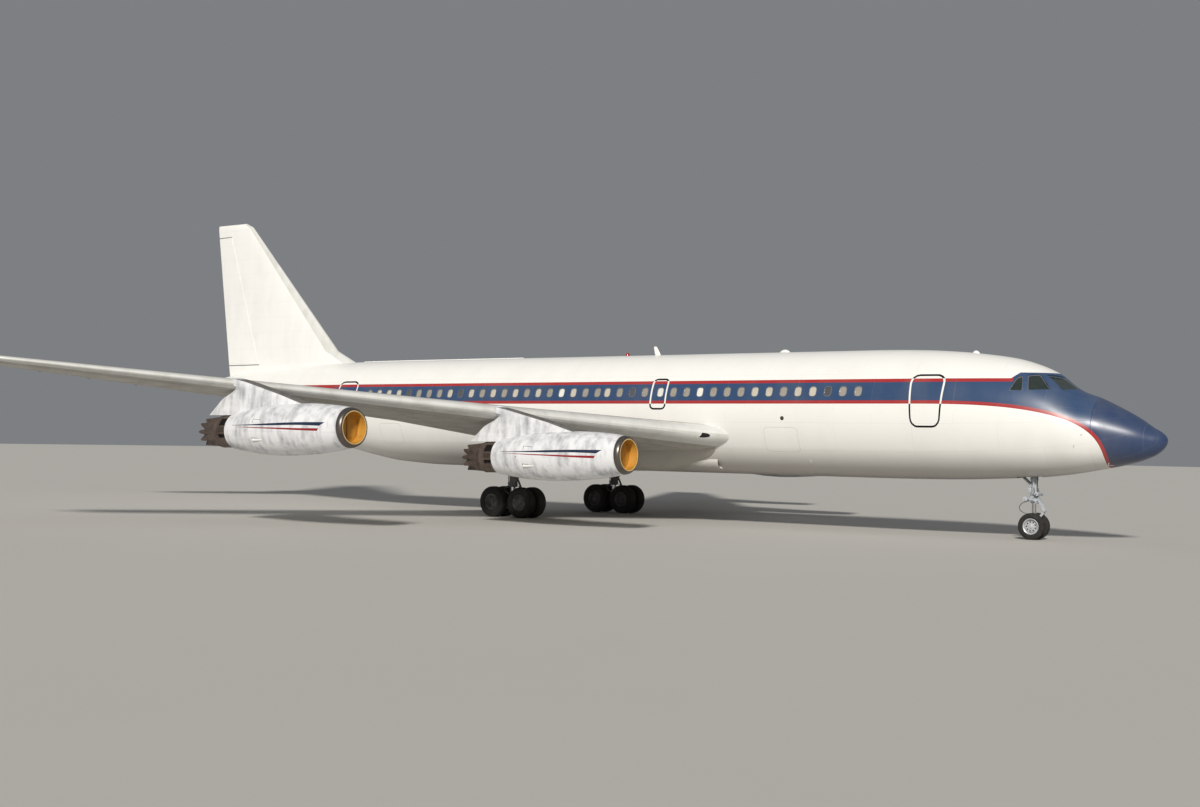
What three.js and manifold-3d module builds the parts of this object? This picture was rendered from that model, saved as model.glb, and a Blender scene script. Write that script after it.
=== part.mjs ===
// A four-engined narrow-body jet airliner of about 1960, parked on its landing gear.
// Millimetres. X points to the nose, Y to port, Z up; the ground is Z = 0.
import * as THREE from "three";
import { mergeVertices } from "three/addons/utils/BufferGeometryUtils.js";
import Module from "manifold-3d";

// Driving dimensions
const overallLength = 39420;
const wingSpan = 36580;
const finTop = 11070;
const wheelBase = 16190;
const wheelTrack = 5750;
const touchGap = 0.3; // between solids that touch
const runningGap = 6; // between moving pieces, away from their pins
const pinGap = 0.15; // round a pin in its bore

const noseX = overallLength / 2;
const mainGearX = -50;
const noseGearX = mainGearX + wheelBase;
const legY = wheelTrack / 2;

// Fuselage: an ellipse at each station, measured aft of the nose tip
const fuselageSides = 36;
const radomeLength = 1750;
const tailConeStart = 36750;
const fuselageStations = [
  // aft, top, bottom, half width
  [0, 2850, 2730, 60],
  [70, 2970, 2590, 195],
  [335, 3120, 2375, 390],
  [720, 3390, 2215, 600],
  [1240, 3680, 2080, 810],
  [1750, 3930, 1975, 985],
  [2230, 4110, 1880, 1120],
  [2890, 4600, 1780, 1280],
  [3350, 4820, 1730, 1380],
  [3980, 5020, 1690, 1490],
  [4600, 5130, 1655, 1570],
  [5730, 5260, 1605, 1680],
  [6850, 5330, 1585, 1735],
  [8200, 5357, 1577, 1755],
  [24860, 5357, 1577, 1755],
  [27090, 5357, 1670, 1725],
  [28440, 5352, 1860, 1660],
  [29690, 5340, 2100, 1560],
  [31700, 5290, 2570, 1330],
  [33700, 5190, 3090, 1060],
  [35700, 5020, 3640, 730],
  [37200, 4830, 4080, 420],
  [37950, 4680, 4340, 190],
];

// Flight deck windows: a wrap-round band of glass, seen from the side as aft and height
const glassDepth = 60;
const glassOutline = [[4060, 4060], [3620, 4610], [1900, 4610], [1900, 4060]];

// Wing sections, port side: span place, leading edge, trailing edge, height, incidence, thickness ratio
const wingTipY = wingSpan / 2;
const wingStations = [
  [900, 8050, -1130, 2700, 2.5, 0.10],
  [1500, 7420, -1235, 2770, 2.5, 0.105],
  [2400, 6330, -1470, 2870, 2.4, 0.11],
  [6000, 3480, -2400, 3235, 1.8, 0.105],
  [17800, -5840, -8100, 4440, 0, 0.09],
  [wingTipY, -6500, -8330, 4490, 0, 0.07],
];
// The fairing that fills the corner under the wing's root, an egg shape about the plane y = fairingInner
const fairingInner = 700;
const fairingSides = 24;
const fairingStations = [
  // x, middle height, up, down, out
  [7230, 2640, 30, 40, 850],
  [6860, 2700, 90, 370, 870],
  [6670, 2710, 120, 640, 890],
  [5700, 2700, 200, 860, 1000],
  [4400, 2650, 250, 1040, 1280],
  [2500, 2560, 230, 980, 1380],
  [700, 2480, 150, 900, 1380],
  [200, 2460, 100, 880, 1210],
  [-900, 2410, 40, 800, 1110],
  [-2600, 2350, 40, 500, 650],
];
const tailplaneTipY = 5900;
const tailplaneStations = [
  [300, -13670, -17700, 4230, 0, 0.10],
  [5700, -17880, -19640, 4760, 0, 0.09],
  [tailplaneTipY, -18200, -noseX, 4780, 0, 0.06],
];
const finStations = [
  // height, leading edge, trailing edge, thickness ratio
  [4600, -9100, -17120, 0.07],
  [5250, -9900, -17230, 0.078],
  [5800, -11050, -17310, 0.09],
  [10900, -15990, -18060, 0.09],
  [finTop, -16350, -18080, 0.06],
];
const foilSides = 16;
const surfaceEndGap = 20; // at the ends of flaps, ailerons and elevators
const rudderEndGap = 40;
const coveSides = 12;
const pinSides = 12;
const hingePinRadius = 22;
const hingePinDepth = 60; // that each pin goes into the rib
const noseScale = 0.9; // a surface's round nose, as a share of the foil's thickness at the hinge
const hingeReach = 400; // a cove reaches no further ahead of its hinge line
const surfaceReach = 2500;
const finReach = 22000; // well aft of the fin

// Trailing edge surfaces: span ends, distance of the hinge line ahead of the trailing edge at each end,
// and the gap round the foil's thickness in the cove, which is wider where the surface turns further
const flaps = [
  { name: "flap_inboard", inner: 2000, outer: 5750, chordIn: 1000, chordOut: 1150, coveGap: 22 },
  { name: "flap_outboard", inner: 6150, outer: 11200, chordIn: 1150, chordOut: 850, coveGap: 22 },
];
const aileron = { inner: 11450, outer: 16500, chordIn: 830, chordOut: 560, coveGap: 12 };
const elevator = { inner: 1150, outer: 5500, chordIn: 1080, chordOut: 560, coveGap: 12 };
const rudder = { bottom: 5350, top: 10550, chordBottom: 1900, chordTop: 800, coveGap: 12 };

// Engines: span place and height of the inlet, one row each side of the body
const inletRise = 1.8; // the nacelle's nose-up angle in degrees
const engines = [
  { name: "inboard", y: 6950, inletX: 7240, inletZ: 2140 },
  { name: "outboard", y: 12750, inletX: 2500, inletZ: 2740 },
];
const cowlLength = 4500;
const cowlOuter = [ // aft of the inlet, radius
  [0, 490], [35, 530], [130, 562], [750, 628], [1700, 690], [2500, 705], [3300, 665], [4000, 580],
  [cowlLength, 500],
];
const ductRadius = 437; // at the cover
const cowlInner = [
  [cowlLength, 472], [3300, 600], [2700, 620], [2500, 620], [700, 470], [270, ductRadius], [0, 468],
];
const coverSetBack = 270;
const coverThickness = 40;
// The turned block inside, with its seating ring, exhaust ring and nozzle: aft of the inlet, radius
const engineProfile = [
  [900, 0], [900, 380], [2560, 380], [2560, 619.7], [2640, 619.7], [2640, 400], [4380, 400], [4380, 430],
  [4520, 455], [5040, 445], [5060, 400], [5680, 330], [5680, 290], [5300, 240], [5300, 0],
];
const exhaustClearance = [[4505, 456], [5045, 446], [5760, 420], [5760, 0]]; // for the pylon

// Pylon: side outline and plan, measured aft and up from the inlet, the cowl's rear or the wing's
// leading edge
const pylonOutline = [
  // from, aft, up
  ["inlet", 1240, 520],
  ["inlet", 2490, 880],
  ["wing", -560, 30],
  ["wing", 60, 150],
  ["wing", 900, -100],
  ["wing", 1050, -420],
  ["rear", 1150, 420],
  ["rear", 1180, 300],
  ["rear", 0, 0],
];
const pylonPlan = [
  // from, aft, half width
  ["inlet", 1240, 0],
  ["inlet", 1950, 115],
  ["inlet", 3050, 170],
  ["wing", 300, 175],
];
const pylonBack = 60; // half width where the outline ends

// Wheels
const mainWheel = { radius: 495, width: 330, bead: 258, pair: 550, shaft: 60 };
const noseWheel = { radius: 370, width: 200, bead: 215, pair: 400, shaft: 40 };
const hubDish = 45;
const tyreSides = 20;
const nacelleSides = 16;

// Landing gear, heights above the ground
const bogie = { base: 1140, halfWidth: 95, bottom: 390, top: 610, overhang: 150 };
const mainLeg = { pistonRadius: 85, radius: 150, foot: 980, top: 2900, sides: 16 };
const sideBrace = { foot: 1250, forward: 30, inboard: 1100, top: 2500, radius: 65 };
const dragBrace = { foot: 1150, forward: 1150, top: 2700, radius: 60 };
const noseBay = { behind: 420, ahead: 260, half: 260, bottom: 1000, roof: 2350 };
const noseLeg = { radius: 100, foot: 1000, pistonRadius: 65, sides: 20 };
const noseBrace = { foot: 1480, back: 1150, top: 2300, radius: 45 };
const noseCollar = { radius: 165, bottom: 1060, top: 1210 };
const noseAxleBlock = { half: 85, halfWidth: 75, below: 80, above: 90 };
const linkHalf = 35;
const linkOutline = [ // ahead, height
  [115, 1180], [320, 800], [60, 420], [60, 520], [240, 800], [115, 1060],
];

const wasm = await Module();
wasm.setup();

const white = { color: 0xe9e8e2, roughness: 0.35, metalness: 0 };
const navy = { color: 0x223a63, roughness: 0.3, metalness: 0 };
const glass = { color: 0x2c3a36, roughness: 0.08, metalness: 0 };
const bareMetal = { color: 0xb9bcbf, roughness: 0.35, metalness: 1 };
const yellow = { color: 0xd79a24, roughness: 0.6, metalness: 0 };
const hotMetal = { color: 0x5b5049, roughness: 0.55, metalness: 0.8 };
const gearGrey = { color: 0x9b9d9c, roughness: 0.5, metalness: 0.3 };
const rubber = { color: 0x1b1b1c, roughness: 0.85, metalness: 0 };

// A closed geometry as a solid, turned right side out where the shaping mirrored it
function toSolid(geometry) {
  const bare = geometry.clone();
  bare.deleteAttribute("normal");
  bare.deleteAttribute("uv");
  const merged = mergeVertices(bare, 0.001);
  const vertProperties = new Float32Array(merged.attributes.position.array);
  let triVerts = new Uint32Array(merged.index.array);
  triVerts = dropSlivers(triVerts);
  if (signedVolume(vertProperties, triVerts) < 0) {
    for (let i = 0; i < triVerts.length; i += 3) {
      [triVerts[i], triVerts[i + 1]] = [triVerts[i + 1], triVerts[i]];
    }
  }
  return new wasm.Manifold(new wasm.Mesh({ numProp: 3, vertProperties, triVerts }));
}

function dropSlivers(triVerts) {
  const kept = [];
  for (let i = 0; i < triVerts.length; i += 3) {
    const [a, b, c] = triVerts.subarray(i, i + 3);
    if (a !== b && b !== c && c !== a) kept.push(a, b, c);
  }
  return new Uint32Array(kept);
}

function signedVolume(points, triVerts) {
  const corner = (i) => new THREE.Vector3().fromArray(points, triVerts[i] * 3);
  let volume = 0;
  for (let i = 0; i < triVerts.length; i += 3) {
    volume += corner(i).dot(corner(i + 1).cross(corner(i + 2))) / 6;
  }
  return volume;
}

function toMesh(name, solid, finish) {
  const { vertProperties, triVerts } = solid.getMesh();
  const geometry = new THREE.BufferGeometry();
  geometry.setAttribute("position", new THREE.BufferAttribute(new Float32Array(vertProperties), 3));
  geometry.setIndex(new THREE.BufferAttribute(new Uint32Array(triVerts), 1));
  geometry.computeVertexNormals();
  const mesh = new THREE.Mesh(geometry, new THREE.MeshStandardMaterial(finish));
  mesh.name = name;
  return mesh;
}

// The largest of the separate bodies that a cut leaves
function mainBody(solid) {
  return solid.decompose().reduce((best, piece) => (piece.volume() > best.volume() ? piece : best));
}

// A loft: the rings of a cylinder moved onto cross-sections; place(ring, angle, reach) gives a point,
// with reach 0 on the section's middle and 1 on its edge
function loft(rings, sides, place) {
  const geometry = new THREE.CylinderGeometry(1, 1, 1, sides, rings - 1);
  const position = geometry.attributes.position;
  for (let i = 0; i < position.count; i += 1) {
    const ring = Math.round((0.5 - position.getY(i)) * (rings - 1));
    const reach = Math.hypot(position.getX(i), position.getZ(i)) > 0.5 ? 1 : 0;
    const angle = Math.atan2(position.getZ(i), position.getX(i));
    position.setXYZ(i, ...place(ring, angle, reach));
  }
  return toSolid(geometry);
}

// The whole body from nose to tail, made larger all round by grow
function bodySolid(grow) {
  return loft(fuselageStations.length, fuselageSides, (ring, angle, reach) => {
    const [aft, top, bottom, halfWidth] = fuselageStations[ring];
    const middle = (top + bottom) / 2;
    const halfHeight = (top - bottom) / 2;
    const y = reach * Math.cos(angle) * (halfWidth + grow);
    const z = middle + reach * Math.sin(angle) * (halfHeight + grow);
    return [noseX - aft, y, z];
  });
}

// Half thickness of an aerofoil as a share of its chord, at a share of the chord
function foilHalfThickness(share, ratio) {
  const s = share;
  const curve = 0.2969 * Math.sqrt(s) - 0.126 * s - 0.3516 * s ** 2 + 0.2843 * s ** 3 - 0.1036 * s ** 4;
  return 5 * ratio * curve;
}

// A wing or tailplane: stations in span, port side (side 1) or starboard (side -1)
function wingSolid(stations, side, grow = 0) {
  return loft(stations.length, foilSides, (ring, angle, reach) => {
    const [span, lead, trail, height, incidence, ratio] = stations[ring];
    const chord = lead - trail;
    const share = reach ? (1 - Math.cos(angle)) / 2 : 0.4;
    const up = reach * Math.sign(Math.sin(angle)) * foilHalfThickness(share, ratio) * chord;
    const tilt = THREE.MathUtils.degToRad(incidence);
    const edge = reach * grow;
    const x = lead - share * chord - Math.sin(tilt) * up + edge * Math.cos(angle);
    const z = height - Math.tan(tilt) * share * chord + up + edge * Math.sin(angle);
    return [x, side * span, z];
  });
}

function rootFairing(side, grow = 0) {
  return loft(fairingStations.length, fairingSides, (ring, angle, reach) => {
    const [x, middle, up, down, out] = fairingStations[ring];
    const height = (Math.sin(angle) > 0 ? up : down) + grow;
    const y = fairingInner + reach * Math.cos(angle) * (out + grow);
    return [x, side * y, middle + reach * Math.sin(angle) * height];
  });
}

function finSolid() {
  return loft(finStations.length, foilSides, (ring, angle, reach) => {
    const [height, lead, trail, ratio] = finStations[ring];
    const chord = lead - trail;
    const share = reach ? (1 - Math.cos(angle)) / 2 : 0.4;
    const y = reach * Math.sign(Math.sin(angle)) * foilHalfThickness(share, ratio) * chord;
    return [lead - share * chord, y, height];
  });
}

// Measures of one row of a station table
const leadOf = (row) => row[1];
const trailOf = (row) => row[2];
const heightOf = (row) => row[3];
const chordOf = (row) => row[1] - row[2];
const thicknessOf = (row) => row.at(-1) * chordOf(row);
const dropOf = (row) => Math.tan(THREE.MathUtils.degToRad(row[4])) * chordOf(row);

// A measure at a place between the rows, as on the ruled surface between them
function along(stations, place, measure) {
  const last = stations.length - 1;
  let i = 0;
  while (i < last - 1 && stations[i + 1][0] < place) i += 1;
  const share = (place - stations[i][0]) / (stations[i + 1][0] - stations[i][0]);
  return THREE.MathUtils.lerp(measure(stations[i]), measure(stations[i + 1]), share);
}

// The point of a wing's middle surface at a span place, some way ahead of the trailing edge
function middlePoint(stations, side, span, aheadOfTrail) {
  const share = 1 - aheadOfTrail / along(stations, span, chordOf);
  const z = along(stations, span, heightOf) - share * along(stations, span, dropOf);
  return new THREE.Vector3(along(stations, span, trailOf) + aheadOfTrail, side * span, z);
}

const swapYZ = new THREE.Matrix4().set(1, 0, 0, 0, 0, 0, 1, 0, 0, 1, 0, 0, 0, 0, 0, 1);

// A flat outline extruded between two levels of the third axis
function prism(outline, from, to, plane) {
  const shape = new THREE.Shape(outline.map(([u, v]) => new THREE.Vector2(u, v)));
  const geometry = new THREE.ExtrudeGeometry(shape, { depth: to - from, bevelEnabled: false });
  geometry.translate(0, 0, from);
  if (plane === "xz") geometry.applyMatrix4(swapYZ);
  return toSolid(geometry);
}

function box(x0, x1, y0, y1, z0, z1) {
  const geometry = new THREE.BoxGeometry(x1 - x0, y1 - y0, z1 - z0);
  geometry.translate((x0 + x1) / 2, (y0 + y1) / 2, (z0 + z1) / 2);
  return toSolid(geometry);
}

// A round bar between two points
function bar(from, to, radius, sides = 14, endRadius = radius) {
  const start = new THREE.Vector3(...from);
  const end = new THREE.Vector3(...to);
  const way = end.clone().sub(start);
  const geometry = new THREE.CylinderGeometry(endRadius, radius, way.length(), sides);
  const axis = new THREE.Vector3(0, 1, 0);
  const turn = new THREE.Quaternion().setFromUnitVectors(axis, way.clone().normalize());
  geometry.applyQuaternion(turn);
  geometry.translate(...start.add(end).multiplyScalar(0.5).toArray());
  return toSolid(geometry);
}

// The radius of a many-sided bore that a round pin of as many sides turns in without touching
function boreFor(pinRadius, sides) {
  return (pinRadius + pinGap) / Math.cos(Math.PI / sides);
}

// A turned piece: profile rows of [place along the axis, radius]
function turned(profile, sides, closedLoop = false) {
  const points = profile.map(([place, radius]) => new THREE.Vector2(radius, place));
  if (closedLoop) points.push(points[0].clone());
  return new THREE.LatheGeometry(points, sides);
}

const fuselageWhole = bodySolid(0);
const fuselageCutter = bodySolid(touchGap);
const group = new THREE.Group();
const add = (name, solid, finish) => group.add(toMesh(name, solid, finish));

function noseBayBox() {
  const { behind, ahead, half, bottom, roof } = noseBay;
  return box(noseGearX - behind, noseGearX + ahead, -half, half, bottom, roof);
}

// Fuselage, radome, tail cone and the flight deck windows
function makeBody() {
  const radomeX = noseX - radomeLength;
  const coneX = noseX - tailConeStart;
  const glassShape = glassOutline.map(([aft, height]) => [noseX - aft, height]);
  const glassBlock = prism(glassShape, -surfaceReach, surfaceReach, "xz");
  const glassPocket = glassBlock.subtract(bodySolid(-glassDepth));
  const middle = fuselageWhole.trimByPlane([-1, 0, 0], touchGap - radomeX)
    .trimByPlane([1, 0, 0], coneX + touchGap);
  add("fuselage", mainBody(middle.subtract(glassPocket).subtract(noseBayBox())), white);
  add("nose_radome", fuselageWhole.trimByPlane([1, 0, 0], radomeX), navy);
  add("tail_cone", fuselageWhole.trimByPlane([-1, 0, 0], -coneX), white);
  const [rearFoot, rearTop, frontTop, frontFoot] = glassShape;
  const slimShape = [
    [rearFoot[0] + touchGap, rearFoot[1] + touchGap],
    [rearTop[0] + touchGap, rearTop[1] - touchGap],
    [frontTop[0], frontTop[1] - touchGap],
    [frontFoot[0], frontFoot[1] + touchGap],
  ];
  const pane = fuselageWhole.intersect(prism(slimShape, -surfaceReach, surfaceReach, "xz"));
  add("flight_deck_glazing", mainBody(pane.subtract(bodySolid(touchGap - glassDepth))), glass);
}

// A hinge line with the foil's half thickness at each row of the table that it crosses and at its ends;
// places run along span or height
function hingeLine(stations, low, high, from, to) {
  const inside = stations.map((row) => row[0]).filter((place) => place > from && place < to);
  const knots = [from, ...inside, to].map((place) => {
    const point = low.clone().lerp(high, (place - from) / (to - from));
    const share = (along(stations, place, leadOf) - point.x) / along(stations, place, chordOf);
    return { point, radius: foilHalfThickness(share, 1) * along(stations, place, thicknessOf) };
  });
  return { low, high, way: high.clone().sub(low).normalize(), knots };
}

// A round bar along a hinge line as thick as the foil, run past both ends
function hingeRound(line, scale, extra) {
  const { knots, way } = line;
  const past = (end, next) => {
    const reach = 600 / end.point.distanceTo(next.point);
    return {
      point: end.point.clone().lerp(next.point, -reach),
      radius: THREE.MathUtils.lerp(end.radius, next.radius, -reach),
    };
  };
  const all = [past(knots[0], knots[1]), ...knots, past(knots.at(-1), knots.at(-2))];
  const u = new THREE.Vector3(1, 0, 0).cross(way).normalize();
  const v = way.clone().cross(u);
  return loft(all.length, coveSides, (ring, angle, reach) => {
    const radius = reach * (all[ring].radius * scale + extra);
    const out = u.clone().multiplyScalar(Math.cos(angle)).addScaledVector(v, Math.sin(angle));
    return all[ring].point.clone().addScaledVector(out, radius).toArray();
  });
}

// A pin, or its bore, along a hinge line and past both its ends
function hingePin(line, past, radius) {
  const from = line.low.clone().addScaledVector(line.way, -past);
  const to = line.high.clone().addScaledVector(line.way, past);
  return bar(from.toArray(), to.toArray(), radius, pinSides);
}

// A block with its ends square to a hinge line, from some way behind the line to well aft
function hingeBlock(line, margin, front) {
  const { low, high, way } = line;
  const aft = new THREE.Vector3(-Math.abs(way.y), way.x * Math.sign(way.y), 0).normalize();
  const up = way.clone().cross(aft);
  const length = low.distanceTo(high) + 2 * margin;
  const depth = surfaceReach - front;
  const geometry = new THREE.BoxGeometry(length, depth, 2 * surfaceReach);
  const middle = low.clone().lerp(high, 0.5).addScaledVector(aft, front + depth / 2);
  geometry.applyMatrix4(new THREE.Matrix4().makeBasis(way, aft, up).setPosition(middle));
  return toSolid(geometry);
}

// A surface hinged at the trailing edge, cut out of its wing, with a round nose that turns in a cove
// and a pin at each end in the wing's ribs. Returns the wing left over and the surface.
function cutSurface(whole, stations, side, surface) {
  const { inner, outer, chordIn, chordOut } = surface;
  const low = middlePoint(stations, side, inner, chordIn);
  const high = middlePoint(stations, side, outer, chordOut);
  const line = hingeLine(stations, low, high, inner, outer);
  const cove = hingeRound(line, 1, surface.coveGap).intersect(hingeBlock(line, surfaceEndGap, -hingeReach));
  const nose = hingeRound(line, noseScale, 0).intersect(hingeBlock(line, 0, -hingeReach));
  const pin = hingePin(line, surfaceEndGap + hingePinDepth, hingePinRadius);
  const boreDepth = surfaceEndGap + hingePinDepth + runningGap;
  const bore = hingePin(line, boreDepth, boreFor(hingePinRadius, pinSides));
  const leaf = whole.intersect(hingeBlock(line, 0, runningGap)).add(nose).add(pin);
  return [whole.subtract(hingeBlock(line, surfaceEndGap, 0)).subtract(cove).subtract(bore), leaf];
}

// Wings with their flaps and ailerons, tailplane with elevators
function makeWing(side, sideName) {
  let wing = wingSolid(wingStations, side);
  for (const flap of flaps) {
    const [rest, leaf] = cutSurface(wing, wingStations, side, flap);
    wing = rest;
    add(`${flap.name}_${sideName}`, mainBody(leaf), white);
  }
  const [wingLeft, aileronLeaf] = cutSurface(wing, wingStations, side, aileron);
  add(`aileron_${sideName}`, mainBody(aileronLeaf), white);
  add(`wing_${sideName}`, mainBody(wingLeft.add(rootFairing(side)).subtract(fuselageCutter)), white);

  const plane = wingSolid(tailplaneStations, side);
  const [planeLeft, elevatorLeaf] = cutSurface(plane, tailplaneStations, side, elevator);
  add(`elevator_${sideName}`, mainBody(elevatorLeaf), white);
  add(`tailplane_${sideName}`, mainBody(planeLeft.subtract(fuselageCutter)), white);
}

function makeFin() {
  const whole = finSolid();
  const { bottom, top, chordBottom, chordTop } = rudder;
  const low = new THREE.Vector3(along(finStations, bottom, trailOf) + chordBottom, 0, bottom);
  const high = new THREE.Vector3(along(finStations, top, trailOf) + chordTop, 0, top);
  const line = hingeLine(finStations, low, high, bottom, top);
  const slope = (high.x - low.x) / (top - bottom);
  const aftBlock = (margin, back = 0) => {
    const corner = (z) => [low.x - back + slope * (z - bottom), z];
    const ends = [bottom - margin, top + margin];
    const outline = [...ends.map(corner), ...ends.reverse().map((z) => [-finReach, z])];
    return prism(outline, -surfaceReach, surfaceReach, "xz");
  };
  const level = (margin) => box(-finReach, 0, -surfaceReach, surfaceReach, bottom - margin, top + margin);
  const pin = hingePin(line, rudderEndGap + hingePinDepth, hingePinRadius);
  const bore = hingePin(line, rudderEndGap + hingePinDepth + runningGap, boreFor(hingePinRadius, pinSides));
  const nose = hingeRound(line, noseScale, 0).intersect(level(0));
  const leaf = whole.intersect(aftBlock(0, runningGap)).add(nose);
  add("rudder", mainBody(leaf.add(pin)), white);
  const cove = hingeRound(line, 1, rudder.coveGap).intersect(level(rudderEndGap));
  const opening = aftBlock(rudderEndGap).add(cove).add(bore);
  add("fin", mainBody(whole.subtract(opening).subtract(fuselageCutter)), white);
}

// Lathe pieces of a nacelle stand on the inlet's centre with the axis pointing aft
function placeNacelle(geometry, engine, side) {
  geometry.rotateZ(Math.PI / 2);
  geometry.rotateY(THREE.MathUtils.degToRad(-inletRise));
  geometry.translate(engine.inletX, side * engine.y, engine.inletZ);
  return toSolid(geometry);
}

function makeNacelle(engine, side, sideName) {
  const tag = `${engine.name}_${sideName}`;
  const cowl = turned([...cowlOuter, ...cowlInner], nacelleSides, true);
  add(`cowl_${tag}`, placeNacelle(cowl, engine, side), white);
  const coverRadius = ductRadius - touchGap;
  const coverBack = coverSetBack + coverThickness;
  const coverProfile = [
    [coverSetBack, 0], [coverSetBack, coverRadius], [coverBack, coverRadius], [coverBack, 0],
  ];
  const cover = turned(coverProfile, nacelleSides);
  add(`inlet_cover_${tag}`, placeNacelle(cover, engine, side), yellow);
  add(`engine_${tag}`, placeNacelle(turned(engineProfile, nacelleSides), engine, side), hotMetal);
  add(`pylon_${tag}`, pylonSolid(engine, side), white);
}

function pylonSolid(engine, side) {
  const marks = {
    inlet: [engine.inletX, engine.inletZ],
    rear: [engine.inletX - cowlLength, engine.inletZ],
    wing: [along(wingStations, engine.y, leadOf), along(wingStations, engine.y, heightOf)],
  };
  const outline = pylonOutline.map(([from, aft, up]) => [marks[from][0] - aft, marks[from][1] + up]);
  const back = Math.min(...outline.map(([x]) => x));
  const edge = [...pylonPlan.map(([from, aft, half]) => [marks[from][0] - aft, half]), [back, pylonBack]];
  const other = edge.slice(1).reverse().map(([x, half]) => [x, -half]);
  const plan = [...edge, ...other].map(([x, y]) => [x, y + side * engine.y]);
  const cowlClearance = cowlOuter.map(([place, radius]) => [place, radius + touchGap]);
  const cowlFilled = turned([[0, 0], ...cowlClearance, ...exhaustClearance], nacelleSides);
  const widest = 400;
  const pylon = prism(outline, side * engine.y - widest, side * engine.y + widest, "xz")
    .intersect(prism(plan, noseBay.bottom, finTop, "xy"))
    .subtract(placeNacelle(cowlFilled, engine, side))
    .subtract(wingSolid(wingStations, side, touchGap));
  return mainBody(pylon);
}

// A tyre as a closed ring and the pair of hubs on their turning axle, along Y
function makeWheels(spec, centre, tag) {
  const half = spec.width / 2;
  const rim = spec.bead;
  const tyre = [
    [-half * 0.78, rim], [-half, rim + 70], [-half, spec.radius - 75], [-half * 0.6, spec.radius],
    [half * 0.6, spec.radius], [half, spec.radius - 75], [half, rim + 70], [half * 0.78, rim],
  ];
  for (const [place, placeName] of [[spec.pair / 2, "port"], [-spec.pair / 2, "starboard"]]) {
    const geometry = turned(tyre, tyreSides, true);
    geometry.translate(centre[0], centre[1] + place, centre[2]);
    add(`tyre_${tag}_${placeName}`, toSolid(geometry), rubber);
  }
  const flange = rim - touchGap;
  const inside = spec.pair / 2 - half * 0.78;
  const outside = spec.pair / 2 + half * 0.78;
  const shaft = spec.shaft;
  const outboardHalf = [
    [outside, 0], [outside, shaft], [outside - hubDish, shaft + 25], [outside, flange - 15],
    [outside, flange], [inside, flange], [inside, shaft],
  ];
  const inboardHalf = outboardHalf.map(([place, radius]) => [-place, radius]).reverse();
  const hubs = turned([...outboardHalf, ...inboardHalf].reverse(), tyreSides);
  hubs.translate(...centre);
  add(`wheels_${tag}`, toSolid(hubs), bareMetal);
}

function makeMainGear(side, sideName) {
  const x = mainGearX;
  const y = side * legY;
  const axleZ = mainWheel.radius;
  const axles = [[bogie.base / 2, "fore"], [-bogie.base / 2, "aft"]];
  const halfLength = bogie.base / 2 + bogie.overhang;
  const { halfWidth, bottom, top } = bogie;
  let beam = box(x - halfLength, x + halfLength, y - halfWidth, y + halfWidth, bottom, top);
  for (const [place] of axles) {
    const bore = [[x + place, y - legY / 2, axleZ], [x + place, y + legY / 2, axleZ]];
    beam = beam.subtract(bar(...bore, boreFor(mainWheel.shaft, tyreSides), tyreSides));
  }
  add(`bogie_${sideName}`, beam, gearGrey);

  const inboard = (reach) => y - side * reach;
  const sideTop = [x + sideBrace.forward, inboard(sideBrace.inboard), sideBrace.top];
  const piston = bar([x, y, top + touchGap], [x, y, mainLeg.foot + 1], mainLeg.pistonRadius, mainLeg.sides);
  const leg = bar([x, y, mainLeg.foot], [x, y, mainLeg.top], mainLeg.radius, mainLeg.sides)
    .add(piston)
    .add(bar([x, y, sideBrace.foot], sideTop, sideBrace.radius))
    .add(bar([x, y, dragBrace.foot], [x + dragBrace.forward, y, dragBrace.top], dragBrace.radius))
    .subtract(wingSolid(wingStations, side, touchGap))
    .subtract(rootFairing(side, touchGap))
    .subtract(fuselageCutter);
  add(`main_leg_${sideName}`, mainBody(leg), gearGrey);
  for (const [place, placeName] of axles) {
    makeWheels(mainWheel, [x + place, y, axleZ], `${sideName}_${placeName}`);
  }
}

function makeNoseGear() {
  const x = noseGearX;
  const axleZ = noseWheel.radius;
  const leg = bar([x, 0, noseLeg.foot], [x, 0, noseBay.roof - touchGap], noseLeg.radius, noseLeg.sides)
    .add(bar([x, 0, noseBrace.foot], [x - noseBrace.back, 0, noseBrace.top], noseBrace.radius))
    .subtract(fuselageCutter.subtract(noseBayBox()));
  add("nose_leg", mainBody(leg), gearGrey);

  // The collar turns on the leg and carries the piston and axle block through the torque link
  const bore = boreFor(noseLeg.radius, noseLeg.sides);
  const collarBore = bar([x, 0, noseLeg.foot], [x, 0, noseBay.roof], bore, noseLeg.sides);
  const collar = bar([x, 0, noseCollar.bottom], [x, 0, noseCollar.top], noseCollar.radius, noseLeg.sides)
    .subtract(collarBore);
  const link = prism(linkOutline.map(([ahead, z]) => [x + ahead, z]), -linkHalf, linkHalf, "xz");
  const { half, halfWidth, below, above } = noseAxleBlock;
  const boreRadius = boreFor(noseWheel.shaft, tyreSides);
  const axleBore = bar([x, -half * 2, axleZ], [x, half * 2, axleZ], boreRadius, tyreSides);
  const block = box(x - half, x + half, -halfWidth, halfWidth, axleZ - below, axleZ + above)
    .add(bar([x, 0, axleZ], [x, 0, noseLeg.foot - touchGap], noseLeg.pistonRadius, noseLeg.sides))
    .subtract(axleBore);
  add("nose_strut", mainBody(block.add(collar).add(link)), gearGrey);
  makeWheels(noseWheel, [x, 0, axleZ], "nose");
}

makeBody();
makeFin();
for (const [side, sideName] of [[1, "port"], [-1, "starboard"]]) {
  makeWing(side, sideName);
  for (const engine of engines) makeNacelle(engine, side, sideName);
  makeMainGear(side, sideName);
}
makeNoseGear();

export default group;
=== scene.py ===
# A four-engined narrow-body jet airliner of about 1960, parked, in its private white, blue and red paint
# metres, X to the nose, Y to port, Z up, the ground at Z = 0
import math

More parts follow.
